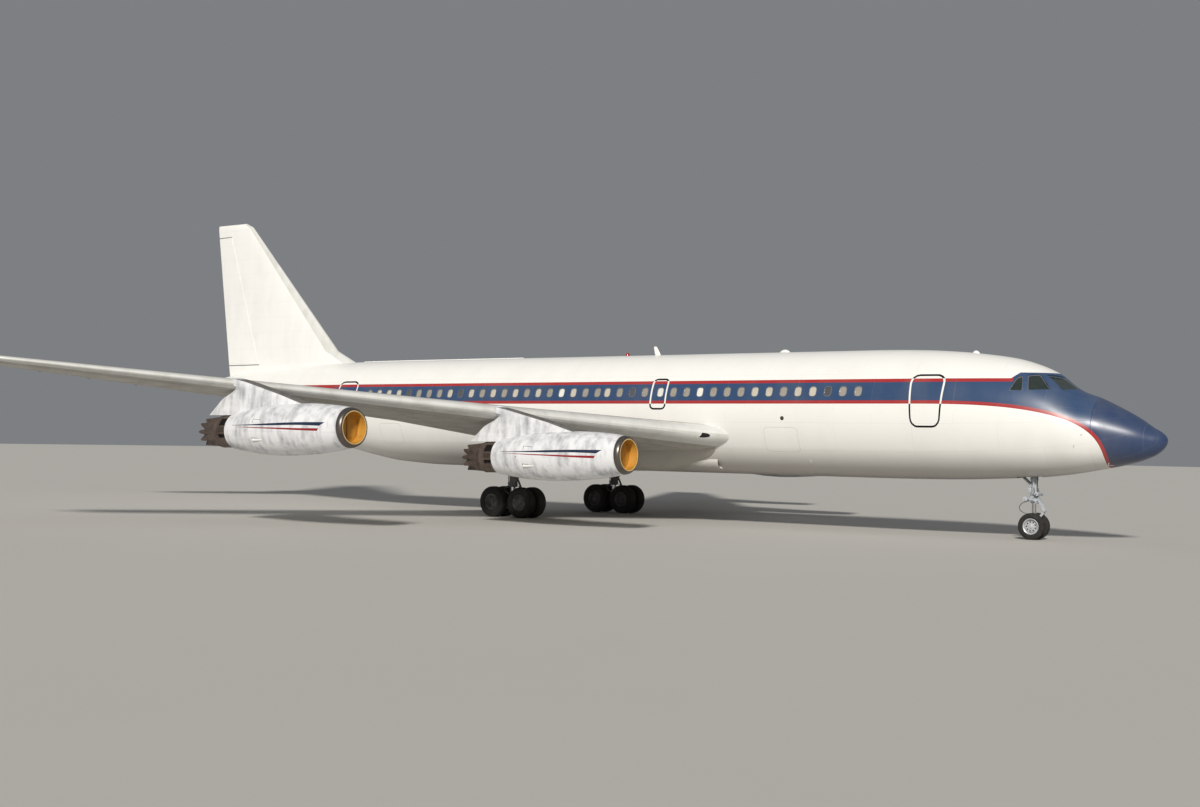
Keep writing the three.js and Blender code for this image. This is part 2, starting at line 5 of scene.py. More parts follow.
import bmesh
import bpy
from mathutils import Matrix, Vector


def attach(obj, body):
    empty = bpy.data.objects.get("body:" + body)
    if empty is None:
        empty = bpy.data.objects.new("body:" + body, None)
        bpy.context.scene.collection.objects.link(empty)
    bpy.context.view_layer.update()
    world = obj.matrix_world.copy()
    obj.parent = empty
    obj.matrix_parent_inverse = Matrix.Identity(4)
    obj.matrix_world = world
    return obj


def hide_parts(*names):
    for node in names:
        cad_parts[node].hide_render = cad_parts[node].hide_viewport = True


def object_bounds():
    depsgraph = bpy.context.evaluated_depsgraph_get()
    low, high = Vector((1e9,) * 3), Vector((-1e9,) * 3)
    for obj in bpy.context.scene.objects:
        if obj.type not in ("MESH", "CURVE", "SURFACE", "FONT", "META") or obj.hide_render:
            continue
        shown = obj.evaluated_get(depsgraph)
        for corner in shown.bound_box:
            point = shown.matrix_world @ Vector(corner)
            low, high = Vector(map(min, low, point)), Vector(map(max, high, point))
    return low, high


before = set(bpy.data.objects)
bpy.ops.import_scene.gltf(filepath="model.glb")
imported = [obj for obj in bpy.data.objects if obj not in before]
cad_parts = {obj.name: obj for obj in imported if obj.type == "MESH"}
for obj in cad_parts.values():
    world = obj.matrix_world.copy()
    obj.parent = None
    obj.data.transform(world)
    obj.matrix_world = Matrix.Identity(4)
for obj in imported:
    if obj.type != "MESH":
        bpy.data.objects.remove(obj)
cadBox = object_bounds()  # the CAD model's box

print("frame loaded,", len(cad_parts), "nodes")

# camera first, where the photographer stood: 1200 x 807 frame, focal length in its pixels
camera = {
    "frameWidth": 1200,
    "focal": 1494.15,
    "sensor": 36.0,
    "place": (30.27, -40.90, 2.446),
    "yaw": 35.306,    # degrees left of looking along +Y
    "pitch": 1.5276,
    "roll": 1.058,
}


def makeCamera(settings):
    yaw, pitch, roll = (math.radians(settings[key]) for key in ("yaw", "pitch", "roll"))
    right = Vector((math.cos(yaw), math.sin(yaw), 0))
    forward = Vector((-math.sin(yaw) * math.cos(pitch), math.cos(yaw) * math.cos(pitch), math.sin(pitch)))
    up = right.cross(forward)
    rolledRight = right * math.cos(roll) + up * math.sin(roll)
    rolledUp = up * math.cos(roll) - right * math.sin(roll)
    turn = Matrix((rolledRight, rolledUp, -forward)).transposed().to_4x4()
    data = bpy.data.cameras.new("photoCamera")
    data.sensor_width = settings["sensor"]
    data.lens = settings["sensor"] * settings["focal"] / settings["frameWidth"]
    data.clip_end = 2000
    item = bpy.data.objects.new("photoCamera", data)
    item.matrix_world = Matrix.Translation(settings["place"]) @ turn
    bpy.context.scene.collection.objects.link(item)
    bpy.context.scene.camera = item


makeCamera(camera)
print("camera set")


# small tools for meshes
def smoothRow(table, place):
    # the row of a station table at a place between its rows, curved but without overshoot
    last = len(table) - 1
    if place <= table[0][0]:
        return table[0][1:]
    if place >= table[last][0]:
        return table[last][1:]
    i = next(k for k in range(last) if table[k + 1][0] >= place)
    width = table[i + 1][0] - table[i][0]
    t = (place - table[i][0]) / width

    def secant(k, column):
        return (table[k + 1][column] - table[k][column]) / (table[k + 1][0] - table[k][0])

    def slope(k, column):
        if k == 0 or k == last:
            return secant(min(k, last - 1), column)
        before, after = secant(k - 1, column), secant(k, column)
        return 0.0 if before * after <= 0 else 2 * before * after / (before + after)

    row = []
    for column in range(1, len(table[0])):
        a, b = table[i][column], table[i + 1][column]
        m, n = slope(i, column) * width, slope(i + 1, column) * width
        row.append((2 * t ** 3 - 3 * t ** 2 + 1) * a + (t ** 3 - 2 * t ** 2 + t) * m
                   + (3 * t ** 2 - 2 * t ** 3) * b + (t ** 3 - t ** 2) * n)
    return row


def straightRow(table, place):
    last = len(table) - 1
    i = next((k for k in range(last) if table[k + 1][0] >= place), last - 1)
    t = (place - table[i][0]) / (table[i + 1][0] - table[i][0])
    return [a + t * (b - a) for a, b in zip(table[i][1:], table[i + 1][1:])]


def newMesh():
    bm = bmesh.new()
    bm.verts.layers.float.new("angle")  # the place round a ring, kept as the ring is extruded
    return bm


def loft(bm, rings, sides, pointAt, loop=False):
    # a circle, extruded from place to place and shaped by pointAt(place, angle); a loop has no end faces
    angle = bm.verts.layers.float["angle"]
    ring = bmesh.ops.create_circle(bm, segments=sides, radius=1)["verts"]
    for vert in ring:
        vert[angle] = math.atan2(vert.co.y, vert.co.x)
    edges = list({edge for vert in ring for edge in vert.link_edges})
    first, made = edges, []
    for count, place in enumerate(rings):
        if count:
            grown = bmesh.ops.extrude_edge_only(bm, edges=edges)["geom"]
            ring = [part for part in grown if isinstance(part, bmesh.types.BMVert)]
            edges = [part for part in grown if isinstance(part, bmesh.types.BMEdge)]
            made += [part for part in grown if isinstance(part, bmesh.types.BMFace)]
        for vert in ring:
            vert.co = pointAt(place, vert[angle])
    if loop:
        return made + bmesh.ops.bridge_loops(bm, edges=first + edges)["faces"]
    for ends in (first, edges):
        made += bmesh.ops.contextual_create(bm, geom=ends)["faces"]
    return made


def turned(bm, profile, centre, axis, side, steps, closed=False):
    # a lathe shape: profile rows of (along the axis, radius), spun round the axis
    centre, axis, side = Vector(centre), Vector(axis).normalized(), Vector(side).normalized()
    verts = [bm.verts.new(centre + axis * along + side * radius) for along, radius in profile]
    pairs = list(zip(verts, verts[1:])) + ([(verts[-1], verts[0])] if closed else [])
    edges = [bm.edges.new(pair) for pair in pairs]
    bmesh.ops.spin(bm, geom=verts + edges, cent=centre, axis=axis, dvec=(0, 0, 0), angle=math.tau, steps=steps,
                   use_merge=True)
    bmesh.ops.remove_doubles(bm, verts=bm.verts, dist=1e-5)


def rod(bm, start, end, radius, endRadius=None, sides=16):
    start, end = Vector(start), Vector(end)
    way = end - start
    place = Matrix.Translation((start + end) / 2) @ way.to_track_quat("Z", "Y").to_matrix().to_4x4()
    tip = radius if endRadius is None else endRadius
    bmesh.ops.create_cone(bm, cap_ends=True, segments=sides, radius1=radius, radius2=tip, depth=way.length,
                          matrix=place)


def block(bm, low, high, edge):
    # a box between two corners with its edges eased
    low, high = Vector(low), Vector(high)
    place = Matrix.Translation((low + high) / 2) @ Matrix.Diagonal((*(high - low), 1))
    verts = bmesh.ops.create_cube(bm, size=1, matrix=place)["verts"]
    edges = list({line for vert in verts for line in vert.link_edges})
    if edge:
        bmesh.ops.bevel(bm, geom=edges, offset=edge, affect="EDGES", segments=2, profile=0.5, material=-1)
    return verts


def pathPoints(points, steps):
    # a smooth curve through a few points
    points = [Vector(p) for p in points]
    ends = [points[0] * 2 - points[1], *points, points[-1] * 2 - points[-2]]
    out = []
    for i in range(1, len(ends) - 2):
        a, b, c, d = ends[i - 1:i + 3]
        for k in range(steps):
            t = k / steps
            out.append(0.5 * (2 * b + (c - a) * t + (2 * a - 5 * b + 4 * c - d) * t ** 2
                              + (3 * b - a - 3 * c + d) * t ** 3))
    return out + [points[-1]]


hoseShape = {"sides": 8, "steps": 5}  # round it, and between two of its points


def hose(bm, points, radius):
    path = pathPoints(points, hoseShape["steps"])
    frames = []
    up = Vector((0.3, 0.5, 0.81))
    for i, point in enumerate(path):
        way = (path[min(i + 1, len(path) - 1)] - path[max(i - 1, 0)]).normalized()
        across = way.cross(up).normalized()
        up = across.cross(way).normalized()
        frames.append((point, across, up))

    def pointAt(place, angle):
        point, across, lift = frames[place]
        return point + (across * math.cos(angle) + lift * math.sin(angle)) * radius

    loft(bm, range(len(path)), hoseShape["sides"], pointAt)


def ribbon(bm, rows, surface, levels, across):
    # a thin closed strip; rows are its left and right edge places, laid on surface(u, v, out)
    count = 2 * (across + 1)

    def pointAt(place, angle):
        k = round(angle / math.tau * count) % count
        share = k / across if k <= across else (count - 1 - k) / across
        (u0, v0), (u1, v1) = rows[place]
        return surface(u0 + (u1 - u0) * share, v0 + (v1 - v0) * share, levels[1 if k <= across else 0])

    loft(bm, range(len(rows)), count, pointAt)


def lineRows(points, width, step):
    # the two edges of an even line through places, cut into short lengths
    path = [Vector(points[0])]
    for a, b in zip(points, points[1:]):
        count = max(1, round((Vector(b) - Vector(a)).length / step))
        path += [Vector(a).lerp(Vector(b), (k + 1) / count) for k in range(count)]
    rows = []
    for i, here in enumerate(path):
        way = (path[min(i + 1, len(path) - 1)] - path[max(i - 1, 0)]).normalized()
        off = Vector((-way.y, way.x)) * width / 2
        rows.append((here + off, here - off))
    return rows


def asObject(name, bm):
    bmesh.ops.remove_doubles(bm, verts=bm.verts, dist=2e-5)
    bmesh.ops.dissolve_degenerate(bm, edges=bm.edges, dist=1e-5)
    bmesh.ops.recalc_face_normals(bm, faces=bm.faces)
    mesh = bpy.data.meshes.new(name)
    bm.to_mesh(mesh)
    bm.free()
    item = bpy.data.objects.new(name, mesh)
    bpy.context.scene.collection.objects.link(item)
    return item


def carve(item, cutter, how="DIFFERENCE"):
    # one solid cut by another, or joined to it
    change = item.modifiers.new("carve", "BOOLEAN")
    change.operation, change.solver, change.object = how, "EXACT", cutter
    solid = bpy.data.meshes.new_from_object(item.evaluated_get(bpy.context.evaluated_depsgraph_get()))
    if not solid.vertices:
        raise RuntimeError("nothing is left of " + item.name)
    item.modifiers.clear()
    old, item.data = item.data, solid
    bpy.data.meshes.remove(old)
    bpy.data.objects.remove(cutter)
    return item


def mirrored(item, name):
    # the same piece on the other side of the aeroplane
    bm = bmesh.new()
    bm.from_mesh(item.data)
    bmesh.ops.scale(bm, vec=(1, -1, 1), verts=bm.verts)
    bmesh.ops.reverse_faces(bm, faces=bm.faces)
    mesh = bpy.data.meshes.new(name)
    bm.to_mesh(mesh)
    bm.free()
    twin = bpy.data.objects.new(name, mesh)
    bpy.context.scene.collection.objects.link(twin)
    return twin


def dress(item, finishes, body="root", slot=None, nodes=(), sharp=32):
    # finishes, shading and the body that the piece rides on
    while len(item.data.materials) < len(finishes):
        item.data.materials.append(None)
    for i, look in enumerate(finishes):
        item.data.materials[i] = look
    item.data.shade_smooth()
    item.data.set_sharp_from_angle(angle=math.radians(sharp))
    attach(item, body)
    if nodes:
        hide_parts(*nodes)


def dressPair(stem, bm, finishes, slot=None):
    # a piece on the port side and its twin on the starboard side
    item = asObject(stem + "_port", bm)
    for piece in (item, mirrored(item, stem + "_starboard")):
        dress(piece, finishes, slot=slot)


# small tools for materials
def toLinear(hexColour):
    channels = [int(hexColour[i:i + 2], 16) / 255 for i in (1, 3, 5)]
    return tuple(c / 12.92 if c <= 0.04045 else ((c + 0.055) / 1.055) ** 2.4 for c in channels) + (1.0,)


def addNode(tree, kind, sockets=None, **settings):
    node = tree.nodes.new("ShaderNode" + kind)
    for key, value in settings.items():
        setattr(node, key, value)
    for key, value in (sockets or {}).items():
        if isinstance(value, bpy.types.NodeSocket):
            tree.links.new(value, node.inputs[key])
        else:
            node.inputs[key].default_value = value
    return node


def newMaterial(name, **settings):
    material = bpy.data.materials.new(name)
    material.use_nodes = True
    shader = material.node_tree.nodes["Principled BSDF"]
    for key, value in settings.items():
        shader.inputs[key.replace("_", " ")].default_value = value
    return material, material.node_tree, shader


def worn(tree, shader, colour, soilColour, soil, patch, rough, grain=0.012, bump=0.15, seams=None,
         seamDepth=0.0):
    # weather on a finish: soft soiling, run-down streaks, fine grain, and the seams between panels
    place = addNode(tree, "TexCoord").outputs["Object"]
    stretched = addNode(tree, "Mapping", {"Vector": place, "Scale": (1.0, 1.0, 0.22)}).outputs[0]
    cloud = addNode(tree, "TexNoise", {"Vector": place, "Scale": 1 / patch, "Detail": 6.0, "Roughness": 0.62})
    runs = addNode(tree, "TexNoise", {"Vector": stretched, "Scale": 3.2 / patch, "Detail": 5.0})
    both = addNode(tree, "Math", {0: cloud.outputs[0], 1: runs.outputs[0]}, operation="MULTIPLY")
    dirt = addNode(tree, "MapRange", {"Value": both.outputs[0], "From Min": 0.2, "From Max": 0.42,
                                      "To Min": 0.0, "To Max": soil}).outputs[0]
    shade = addNode(tree, "Mix", {0: dirt, 6: colour, 7: soilColour}, data_type="RGBA").outputs[2]
    fine = addNode(tree, "TexNoise", {"Vector": place, "Scale": 1 / grain, "Detail": 2.0})
    height = fine.outputs[0]
    if seams is not None:
        darker = addNode(tree, "Math", {0: seams, 1: seamDepth}, operation="MULTIPLY").outputs[0]
        shade = addNode(tree, "Mix", {0: darker, 6: shade, 7: soilColour}, data_type="RGBA").outputs[2]
        sunk = addNode(tree, "Math", {0: seams, 1: -6.0}, operation="MULTIPLY").outputs[0]
        height = addNode(tree, "Math", {0: height, 1: sunk}, operation="ADD").outputs[0]
    tree.links.new(shade, shader.inputs["Base Color"])
    dull = addNode(tree, "MapRange", {"Value": runs.outputs[0], "From Min": 0.3, "From Max": 0.7,
                                      "To Min": rough[0], "To Max": rough[1]}).outputs[0]
    tree.links.new(dull, shader.inputs["Roughness"])
    relief = addNode(tree, "Bump", {"Height": height, "Strength": bump, "Distance": grain / 8})
    tree.links.new(relief.outputs[0], shader.inputs["Normal"])


def seamGrid(tree, across, along, width, height, gap):
    # thin lines between skin panels of a given size
    flat = addNode(tree, "CombineXYZ", {0: across, 1: along}).outputs[0]
    brick = addNode(tree, "TexBrick", {"Vector": flat, "Scale": 1.0, "Mortar Size": gap, "Mortar Smooth": 0.3,
                                       "Brick Width": width, "Row Height": height}, offset=0.5)
    return brick.outputs["Fac"]


# body lines, as in the CAD model: aft of the nose tip, top, bottom, half width
noseX = cadBox[1].x
bodyStations = [
    (0.335, 3.120, 2.375, 0.390), (0.72, 3.390, 2.215, 0.600), (1.24, 3.680, 2.080, 0.810),
    (1.75, 3.930, 1.975, 0.985), (2.23, 4.110, 1.880, 1.120), (2.89, 4.600, 1.780, 1.280),
    (3.35, 4.820, 1.730, 1.380), (3.98, 5.020, 1.690, 1.490), (4.60, 5.130, 1.655, 1.570),
    (5.73, 5.260, 1.605, 1.680), (6.85, 5.330, 1.585, 1.735), (8.20, 5.357, 1.577, 1.755),
    (24.86, 5.357, 1.577, 1.755), (27.09, 5.357, 1.670, 1.725), (28.44, 5.352, 1.860, 1.660),
    (29.69, 5.340, 2.100, 1.560), (31.70, 5.290, 2.570, 1.330), (33.70, 5.190, 3.090, 1.060),
    (35.70, 5.020, 3.640, 0.730), (37.20, 4.830, 4.080, 0.420), (37.95, 4.680, 4.340, 0.190),
]
tipLength, tipHeight = bodyStations[0][0], 2.79
bodyJoints = {"radome": 1.75, "tailCone": 36.75}  # these are pieces of their own
bodyRings = {"parallelFrom": 8.2, "parallelTo": 24.86, "nose": 70, "crowding": 1.7, "middle": 40, "tail": 56,
             "sides": 112}
skinPanels = {
    "long": 2.4,
    "round": 0.9,        # round the body, at the radius below
    "middle": 3.467,
    "radius": 1.82,
    "gap": 0.0045,       # half the joint's width, drawn 9 mm wide to show
    "sweep": 33,         # degrees, on the wings
}


def bodyRow(x):
    # top, bottom and half width of the body at a place along it
    aft = noseX - x
    if aft >= tipLength:
        return smoothRow(bodyStations, aft)
    share = math.sqrt(max(aft, 0.0) / tipLength)  # a round tip
    top, bottom, half = bodyStations[0][1:]
    return tipHeight + (top - tipHeight) * share, tipHeight + (bottom - tipHeight) * share, half * share


def bodyPoint(x, z, side, out):
    # the point of the skin at a height, on one side, moved out along the section's normal
    top, bottom, half = bodyRow(x)
    middle, rise = (top + bottom) / 2, (top - bottom) / 2
    level = max(-0.999, min(0.999, (z - middle) / rise))
    y = half * math.sqrt(1 - level ** 2)
    normal = Vector((0, y / half ** 2, level / rise)).normalized()
    return Vector((x, side * (y + normal.y * out), z + normal.z * out))


# livery heights and places
livery = {
    "white": "#f2f2ee",
    "blue": "#334b6e",
    "radomeBlue": "#2b3f63",
    "red": "#a72c2e",
    "soil": "#a79f90",
    "dirtAndShade": "#6a5c50",     # oil and dust under the belly, and painted shade there
    "dirtAndShadeTop": 2.45,
    "dirtAndShadeFoot": 1.6,
    "bandLow": 3.812,       # blue from here
    "bandHigh": 4.340,      # to here
    "redWidth": 0.095,
    "sweepStart": 13.0,     # the lower line starts to bend down here
    "sweepReach": 5.3,
    "sweepFoot": 2.0,
    "taperStart": -5.6,     # the band narrows to a point aft of here
    "taperSlope": 0.122,
    "lineEnd": -15.6,
    "lineFull": -10.6,      # the upper line has its full width from here on
    "dirtAndShadeMost": 0.7,
    "roofLine": 4.60,       # white above it, over the flight deck
    "roofFrom": 15.84,
    "roofTo": 16.03,
}


def bodyPaint(look):
    # polyurethane gloss paint on aluminium, sprayed, decades old: chalky white, faded blue and red
    material, tree, shader = newMaterial("bodyPaint", Coat_Weight=0.1, Coat_Roughness=0.25)
    place = addNode(tree, "TexCoord").outputs["Object"]
    axes = addNode(tree, "SeparateXYZ", {0: place}).outputs
    halfRed = look["redWidth"] / 2
    lineHeight = look["bandLow"] - halfRed - look["sweepFoot"]
    bandTop = look["bandHigh"] + look["redWidth"]
    # where the roof's white begins, over the flight deck, and the foot of the upper line
    roof = addNode(tree, "MapRange", {"Value": axes[0], "From Min": look["roofFrom"], "From Max": look["roofTo"],
                                      "To Min": bandTop, "To Max": look["roofLine"]}).outputs[0]
    foot = addNode(tree, "MapRange", {"Value": axes[0], "From Min": look["lineEnd"], "From Max": look["lineFull"],
                                      "To Min": bandTop, "To Max": look["bandHigh"]}).outputs[0]
    known = {"x": axes[0], "y": axes[1], "z": axes[2], "roof": roof, "foot": foot}
    for name, kind, operation, *inputs in (
        # height over the foot of the lower line, less the rise of its aft taper
        ("aft", "Math", "SUBTRACT", look["taperStart"], "x"),
        ("behind", "Math", "MAXIMUM", "aft", 0.0),
        ("taper", "Math", "MULTIPLY", "behind", look["taperSlope"]),
        ("level", "Math", "SUBTRACT", "z", "taper"),
        ("up", "Math", "SUBTRACT", "level", look["sweepFoot"]),
        ("above", "Math", "MAXIMUM", "up", 0.001),
        ("rise", "Math", "DIVIDE", "above", lineHeight),
        ("ahead", "Math", "SUBTRACT", "x", look["sweepStart"]),
        ("forward", "Math", "MAXIMUM", "ahead", 0.0),
        ("reach", "Math", "DIVIDE", "forward", look["sweepReach"]),
        # a cubic superellipse bends the line down round the nose; its gradient keeps the width even
        ("reachSquare", "Math", "POWER", "reach", 2.0),
        ("riseSquare", "Math", "POWER", "rise", 2.0),
        ("reachCube", "Math", "MULTIPLY", "reachSquare", "reach"),
        ("cubes", "Math", "MULTIPLY_ADD", "riseSquare", "rise", "reachCube"),
        ("field", "Math", "POWER", "cubes", 1 / 3),
        ("slopeX", "Math", "DIVIDE", "reachSquare", look["sweepReach"]),
        ("slopeZ", "Math", "DIVIDE", "riseSquare", lineHeight),
        ("slopes", "CombineXYZ", None, "slopeX", "slopeZ"),
        ("steep", "VectorMath", "LENGTH", "slopes"),
        ("atLeast", "Math", "MAXIMUM", "steep", 0.08),
        ("over", "Math", "SUBTRACT", "field", 1.0),
        ("offLine", "Math", "DIVIDE", "over", "atLeast"),
        ("overLine", "Math", "GREATER_THAN", "offLine", -halfRed),
        ("overRed", "Math", "GREATER_THAN", "offLine", halfRed),
        # the upper line ends at the flight deck windows
        ("underRoof", "Math", "LESS_THAN", "z", "roof"),
        ("overFoot", "Math", "GREATER_THAN", "z", "foot"),
        ("beforeGlass", "Math", "LESS_THAN", "x", look["roofFrom"] + 0.06),
        ("topRed", "Math", "MULTIPLY", "overFoot", "beforeGlass"),
        ("beforeEnd", "Math", "GREATER_THAN", "x", look["lineEnd"]),
        ("inBand", "Math", "MULTIPLY", "overLine", "underRoof"),
        ("painted", "Math", "MULTIPLY", "inBand", "beforeEnd"),
        ("upperShown", "Math", "MULTIPLY", "topRed", "underRoof"),
        ("anyPaint", "Math", "MAXIMUM", "painted", "upperShown"),
        # the radome's blue is a little deeper
        ("onRadome", "Math", "GREATER_THAN", "x", noseX - bodyJoints["radome"]),
        ("notTop", "Math", "SUBTRACT", 1.0, "topRed"),
        ("blueArea", "Math", "MULTIPLY", "overRed", "notTop"),
        # skin panels, lapped round the body
        ("centred", "Math", "SUBTRACT", "z", skinPanels["middle"]),
        ("turn", "Math", "ARCTAN2", "centred", "y"),
        ("girth", "Math", "MULTIPLY", "turn", skinPanels["radius"]),
    ):
        sockets = {i: known.get(item, item) for i, item in enumerate(inputs)}
        outputs = addNode(tree, kind, sockets, **({"operation": operation} if operation else {})).outputs
        known[name] = outputs["Value"] if kind == "VectorMath" else outputs[0]
    # painted shade with dirt: the body darkens towards the bottom of the belly
    known["dirtAndShade"] = addNode(tree, "MapRange", {"Value": axes[2], "From Min": look["dirtAndShadeTop"],
                                                "From Max": look["dirtAndShadeFoot"], "To Min": 0.0,
                                                "To Max": look["dirtAndShadeMost"]}).outputs[0]
    shades = {key: toLinear(look[key]) for key in ("white", "blue", "radomeBlue", "red", "dirtAndShade", "soil")}
    # each mix takes the colour before it on one side
    for factor, first, second in (("onRadome", shades["blue"], shades["radomeBlue"]), ("blueArea", shades["red"], None),
                                  ("anyPaint", shades["white"], None), ("dirtAndShade", None, shades["dirtAndShade"])):
        sides = {0: known[factor], 6: colour if first is None else first, 7: colour if second is None else second}
        colour = addNode(tree, "Mix", sides, data_type="RGBA").outputs[2]
    seams = seamGrid(tree, axes[0], known["girth"], skinPanels["long"], skinPanels["round"], skinPanels["gap"])
    worn(tree, shader, colour, shades["soil"], soil=0.08, patch=2.2, rough=(0.28, 0.42), seams=seams, seamDepth=0.22)
    return material


def sheetPaint(name, hexColour, soilHex, kind, panel=(1.5, 0.6), soil=0.35, patch=1.6, seamDepth=0.4):
    # brushed or sprayed enamel on sheet metal panels; kind is the plane that its seams are laid out in
    material, tree, shader = newMaterial(name)
    place = addNode(tree, "TexCoord").outputs["Object"]
    if kind == "swept":
        sweep = (0, 0, math.radians(skinPanels["sweep"]))
        place = addNode(tree, "Mapping", {"Vector": place, "Rotation": sweep}).outputs[0]
    axes = addNode(tree, "SeparateXYZ", {0: place}).outputs
    second = {"side": axes[2], "swept": axes[1]}[kind]
    seams = seamGrid(tree, axes[0], second, panel[0], panel[1], skinPanels["gap"])
    worn(tree, shader, toLinear(hexColour), toLinear(soilHex), soil=soil, patch=patch, rough=(0.32, 0.5),
         seams=seams, seamDepth=seamDepth)
    return material


def plainFinish(name, hexColour, soilHex, rough, soil=0.4, patch=0.4, grain=0.004, bump=0.2, **settings):
    material, tree, shader = newMaterial(name, **settings)
    worn(tree, shader, toLinear(hexColour), toLinear(soilHex), soil=soil, patch=patch, grain=grain, bump=bump,
         rough=rough)
    return material


finish = {
    "body": bodyPaint(livery),
    # enamel on sheet aluminium, sprayed: even and half glossy, greyed by rain
    "white": sheetPaint("whiteEnamel", "#f2f2ef", "#9c978e", "side", soil=0.12, seamDepth=0.15),
    # enamel on the cowls and pylons, sprayed: streaked and patched with grey
    "cowl": sheetPaint("cowlEnamel", "#e9eaec", "#7d8088", "side", panel=(2.6, 1.3), soil=0.72, patch=0.62,
                       seamDepth=0.2),
    # corrosion-proof enamel on the wing skins, sprayed: warm grey, darkened as painted shade of the underside, chalked
    # by the sun
    "wing": sheetPaint("wingEnamelWithPaintedShade", "#aeaaa2", "#857c70", "swept", panel=(2.2, 0.75)),
    # pale enamel round the leading edges; on the wing, lighter than the grey behind it, it is a painted highlight
    "edge": plainFinish("edgeEnamel", "#d9dad6", "#9d978c", soil=0.4, patch=1.2, rough=(0.3, 0.42)),
    # spun aluminium round the inlets, weathered: grey with a broad soft sheen
    "lip": plainFinish("spunAluminium", "#756e69", "#4c4541", patch=0.5, rough=(0.3, 0.42), Metallic=0.85),
    # two-part enamel on plywood, brushed: strong yellow, faded and dusty
    "yellow": plainFinish("yellowEnamel", "#c68f36", "#84601f", soil=0.6, patch=0.3, rough=(0.45, 0.62)),
    # the same yellow made paler for the cover's rim, as a painted highlight
    "yellowLitRim": plainFinish("yellowWithPaintedHighlight", "#d8bd86", "#a98748", soil=0.5, patch=0.3, rough=(0.45, 0.62)),
    # heat-resisting steel, formed: brown and blue-grey from heat, dull
    "hot": plainFinish("heatStainedSteel", "#746760", "#3d332d", soil=0.75, patch=0.3, rough=(0.42, 0.6),
                       Metallic=0.7),
    # near black: painted shade inside the exhaust, in its outer cascade windows, in the belly scoop's mouth and in the
    # leading-edge port, with soot in the exhaust
    "shadeBlack": plainFinish("sootAndShadeBlack", "#161412", "#2b2623", soil=0.4, rough=(0.7, 0.85)),
    # gear enamel on forgings: grey with oil and dust; the first is darkened as painted shade for the main gear under
    # the wing, the second is the nose gear's light grey
    "gear": plainFinish("greyEnamelWithPaintedShade", "#6c6d6e", "#3a3631", soil=0.6, patch=0.22, rough=(0.38, 0.55)),
    "gearPale": plainFinish("paleGreyEnamel", "#b9bec4", "#62646a", soil=0.5, patch=0.2, rough=(0.34, 0.5)),
    # hard chrome on ground steel: a bright mirror
    "chrome": plainFinish("hardChrome", "#d8dadc", "#a6a49f", soil=0.2, rough=(0.08, 0.16), Metallic=1.0),
    # cast magnesium wheel, silver lacquer
    "alloy": plainFinish("silverLacquer", "#c9cccf", "#6c6a66", soil=0.45, patch=0.12, rough=(0.36, 0.5),
                         Metallic=0.35),
    # the same lacquer, darkened as painted shade for the main wheels under the wing, and dusty
    "alloyDustyAndShaded": plainFinish("brakeDustedLacquerWithPaintedShade", "#6e6e6d", "#2f2b27", soil=0.7, patch=0.12, rough=(0.5, 0.7),
                              Metallic=0.3),
    # vulcanised rubber, moulded: near black, dusty, no gloss
    "rubber": plainFinish("tyreRubber", "#1f1e1d", "#57524b", soil=0.3, patch=0.15, grain=0.003, rough=(0.75, 0.92)),
    "hoseRubber": plainFinish("hoseRubber", "#1a1a1b", "#3d3a37", rough=(0.5, 0.7)),
    # laminated glass, deep green and mirror smooth, dark with the unlit flight deck behind it as painted shade
    "glass": plainFinish("tintedGlassOverPaintedShade", "#26302d", "#3b4341", soil=0.3, grain=0.02, bump=0.02, rough=(0.04, 0.09),
                         Coat_Weight=1.0, Coat_Roughness=0.03),
    # aluminium extrusion, anodised
    "trim": plainFinish("anodisedTrim", "#b9bcbd", "#77746e", soil=0.25, rough=(0.3, 0.42), Metallic=0.8),
    "black": plainFinish("blackEnamel", "#0b0b0c", "#171615", soil=0.2, rough=(0.6, 0.75), Specular_IOR_Level=0.25),
    "outlineWhite": plainFinish("whiteLining", "#f4f3ee", "#b4ada0", soil=0.2, rough=(0.35, 0.5)),
    "blue": plainFinish("blueLining", "#12233f", "#26364f", soil=0.25, patch=0.8, rough=(0.5, 0.62)),
    "red": plainFinish("redLining", "#8f161d", "#6f2826", soil=0.25, patch=0.8, rough=(0.5, 0.62)),
    "seam": plainFinish("sealantInJoints", "#6f6b65", "#514d47", soil=0.4, rough=(0.5, 0.7)),
    "faintSeam": plainFinish("paintedOverJoints", "#cdcac1", "#b0aba0", soil=0.4, rough=(0.4, 0.6)),
    # dulled aluminium plate, rolled: grey with a soft sheen
    "strip": plainFinish("rolledAluminium", "#8f8b87", "#4f4a46", soil=0.5, patch=0.3, rough=(0.38, 0.5),
                         Metallic=0.6),
    "redLens": plainFinish("redLens", "#a3201c", "#6d1a17", soil=0.2, rough=(0.06, 0.12), Coat_Weight=1.0),
    "greenLens": plainFinish("greenLens", "#1f7a4c", "#1a4f35", soil=0.2, rough=(0.06, 0.12), Coat_Weight=1.0),
    "lamp": plainFinish("lampGlass", "#e9e7df", "#c9c5b9", soil=0.2, rough=(0.05, 0.12), Coat_Weight=1.0),
    "floor": plainFinish("paleFloor", "#c4c2bd", "#bbb8b2", soil=0.1, patch=14.0, grain=0.05, bump=0.0,
                         rough=(0.75, 0.9)),
}
print("finishes made,", len(finish))

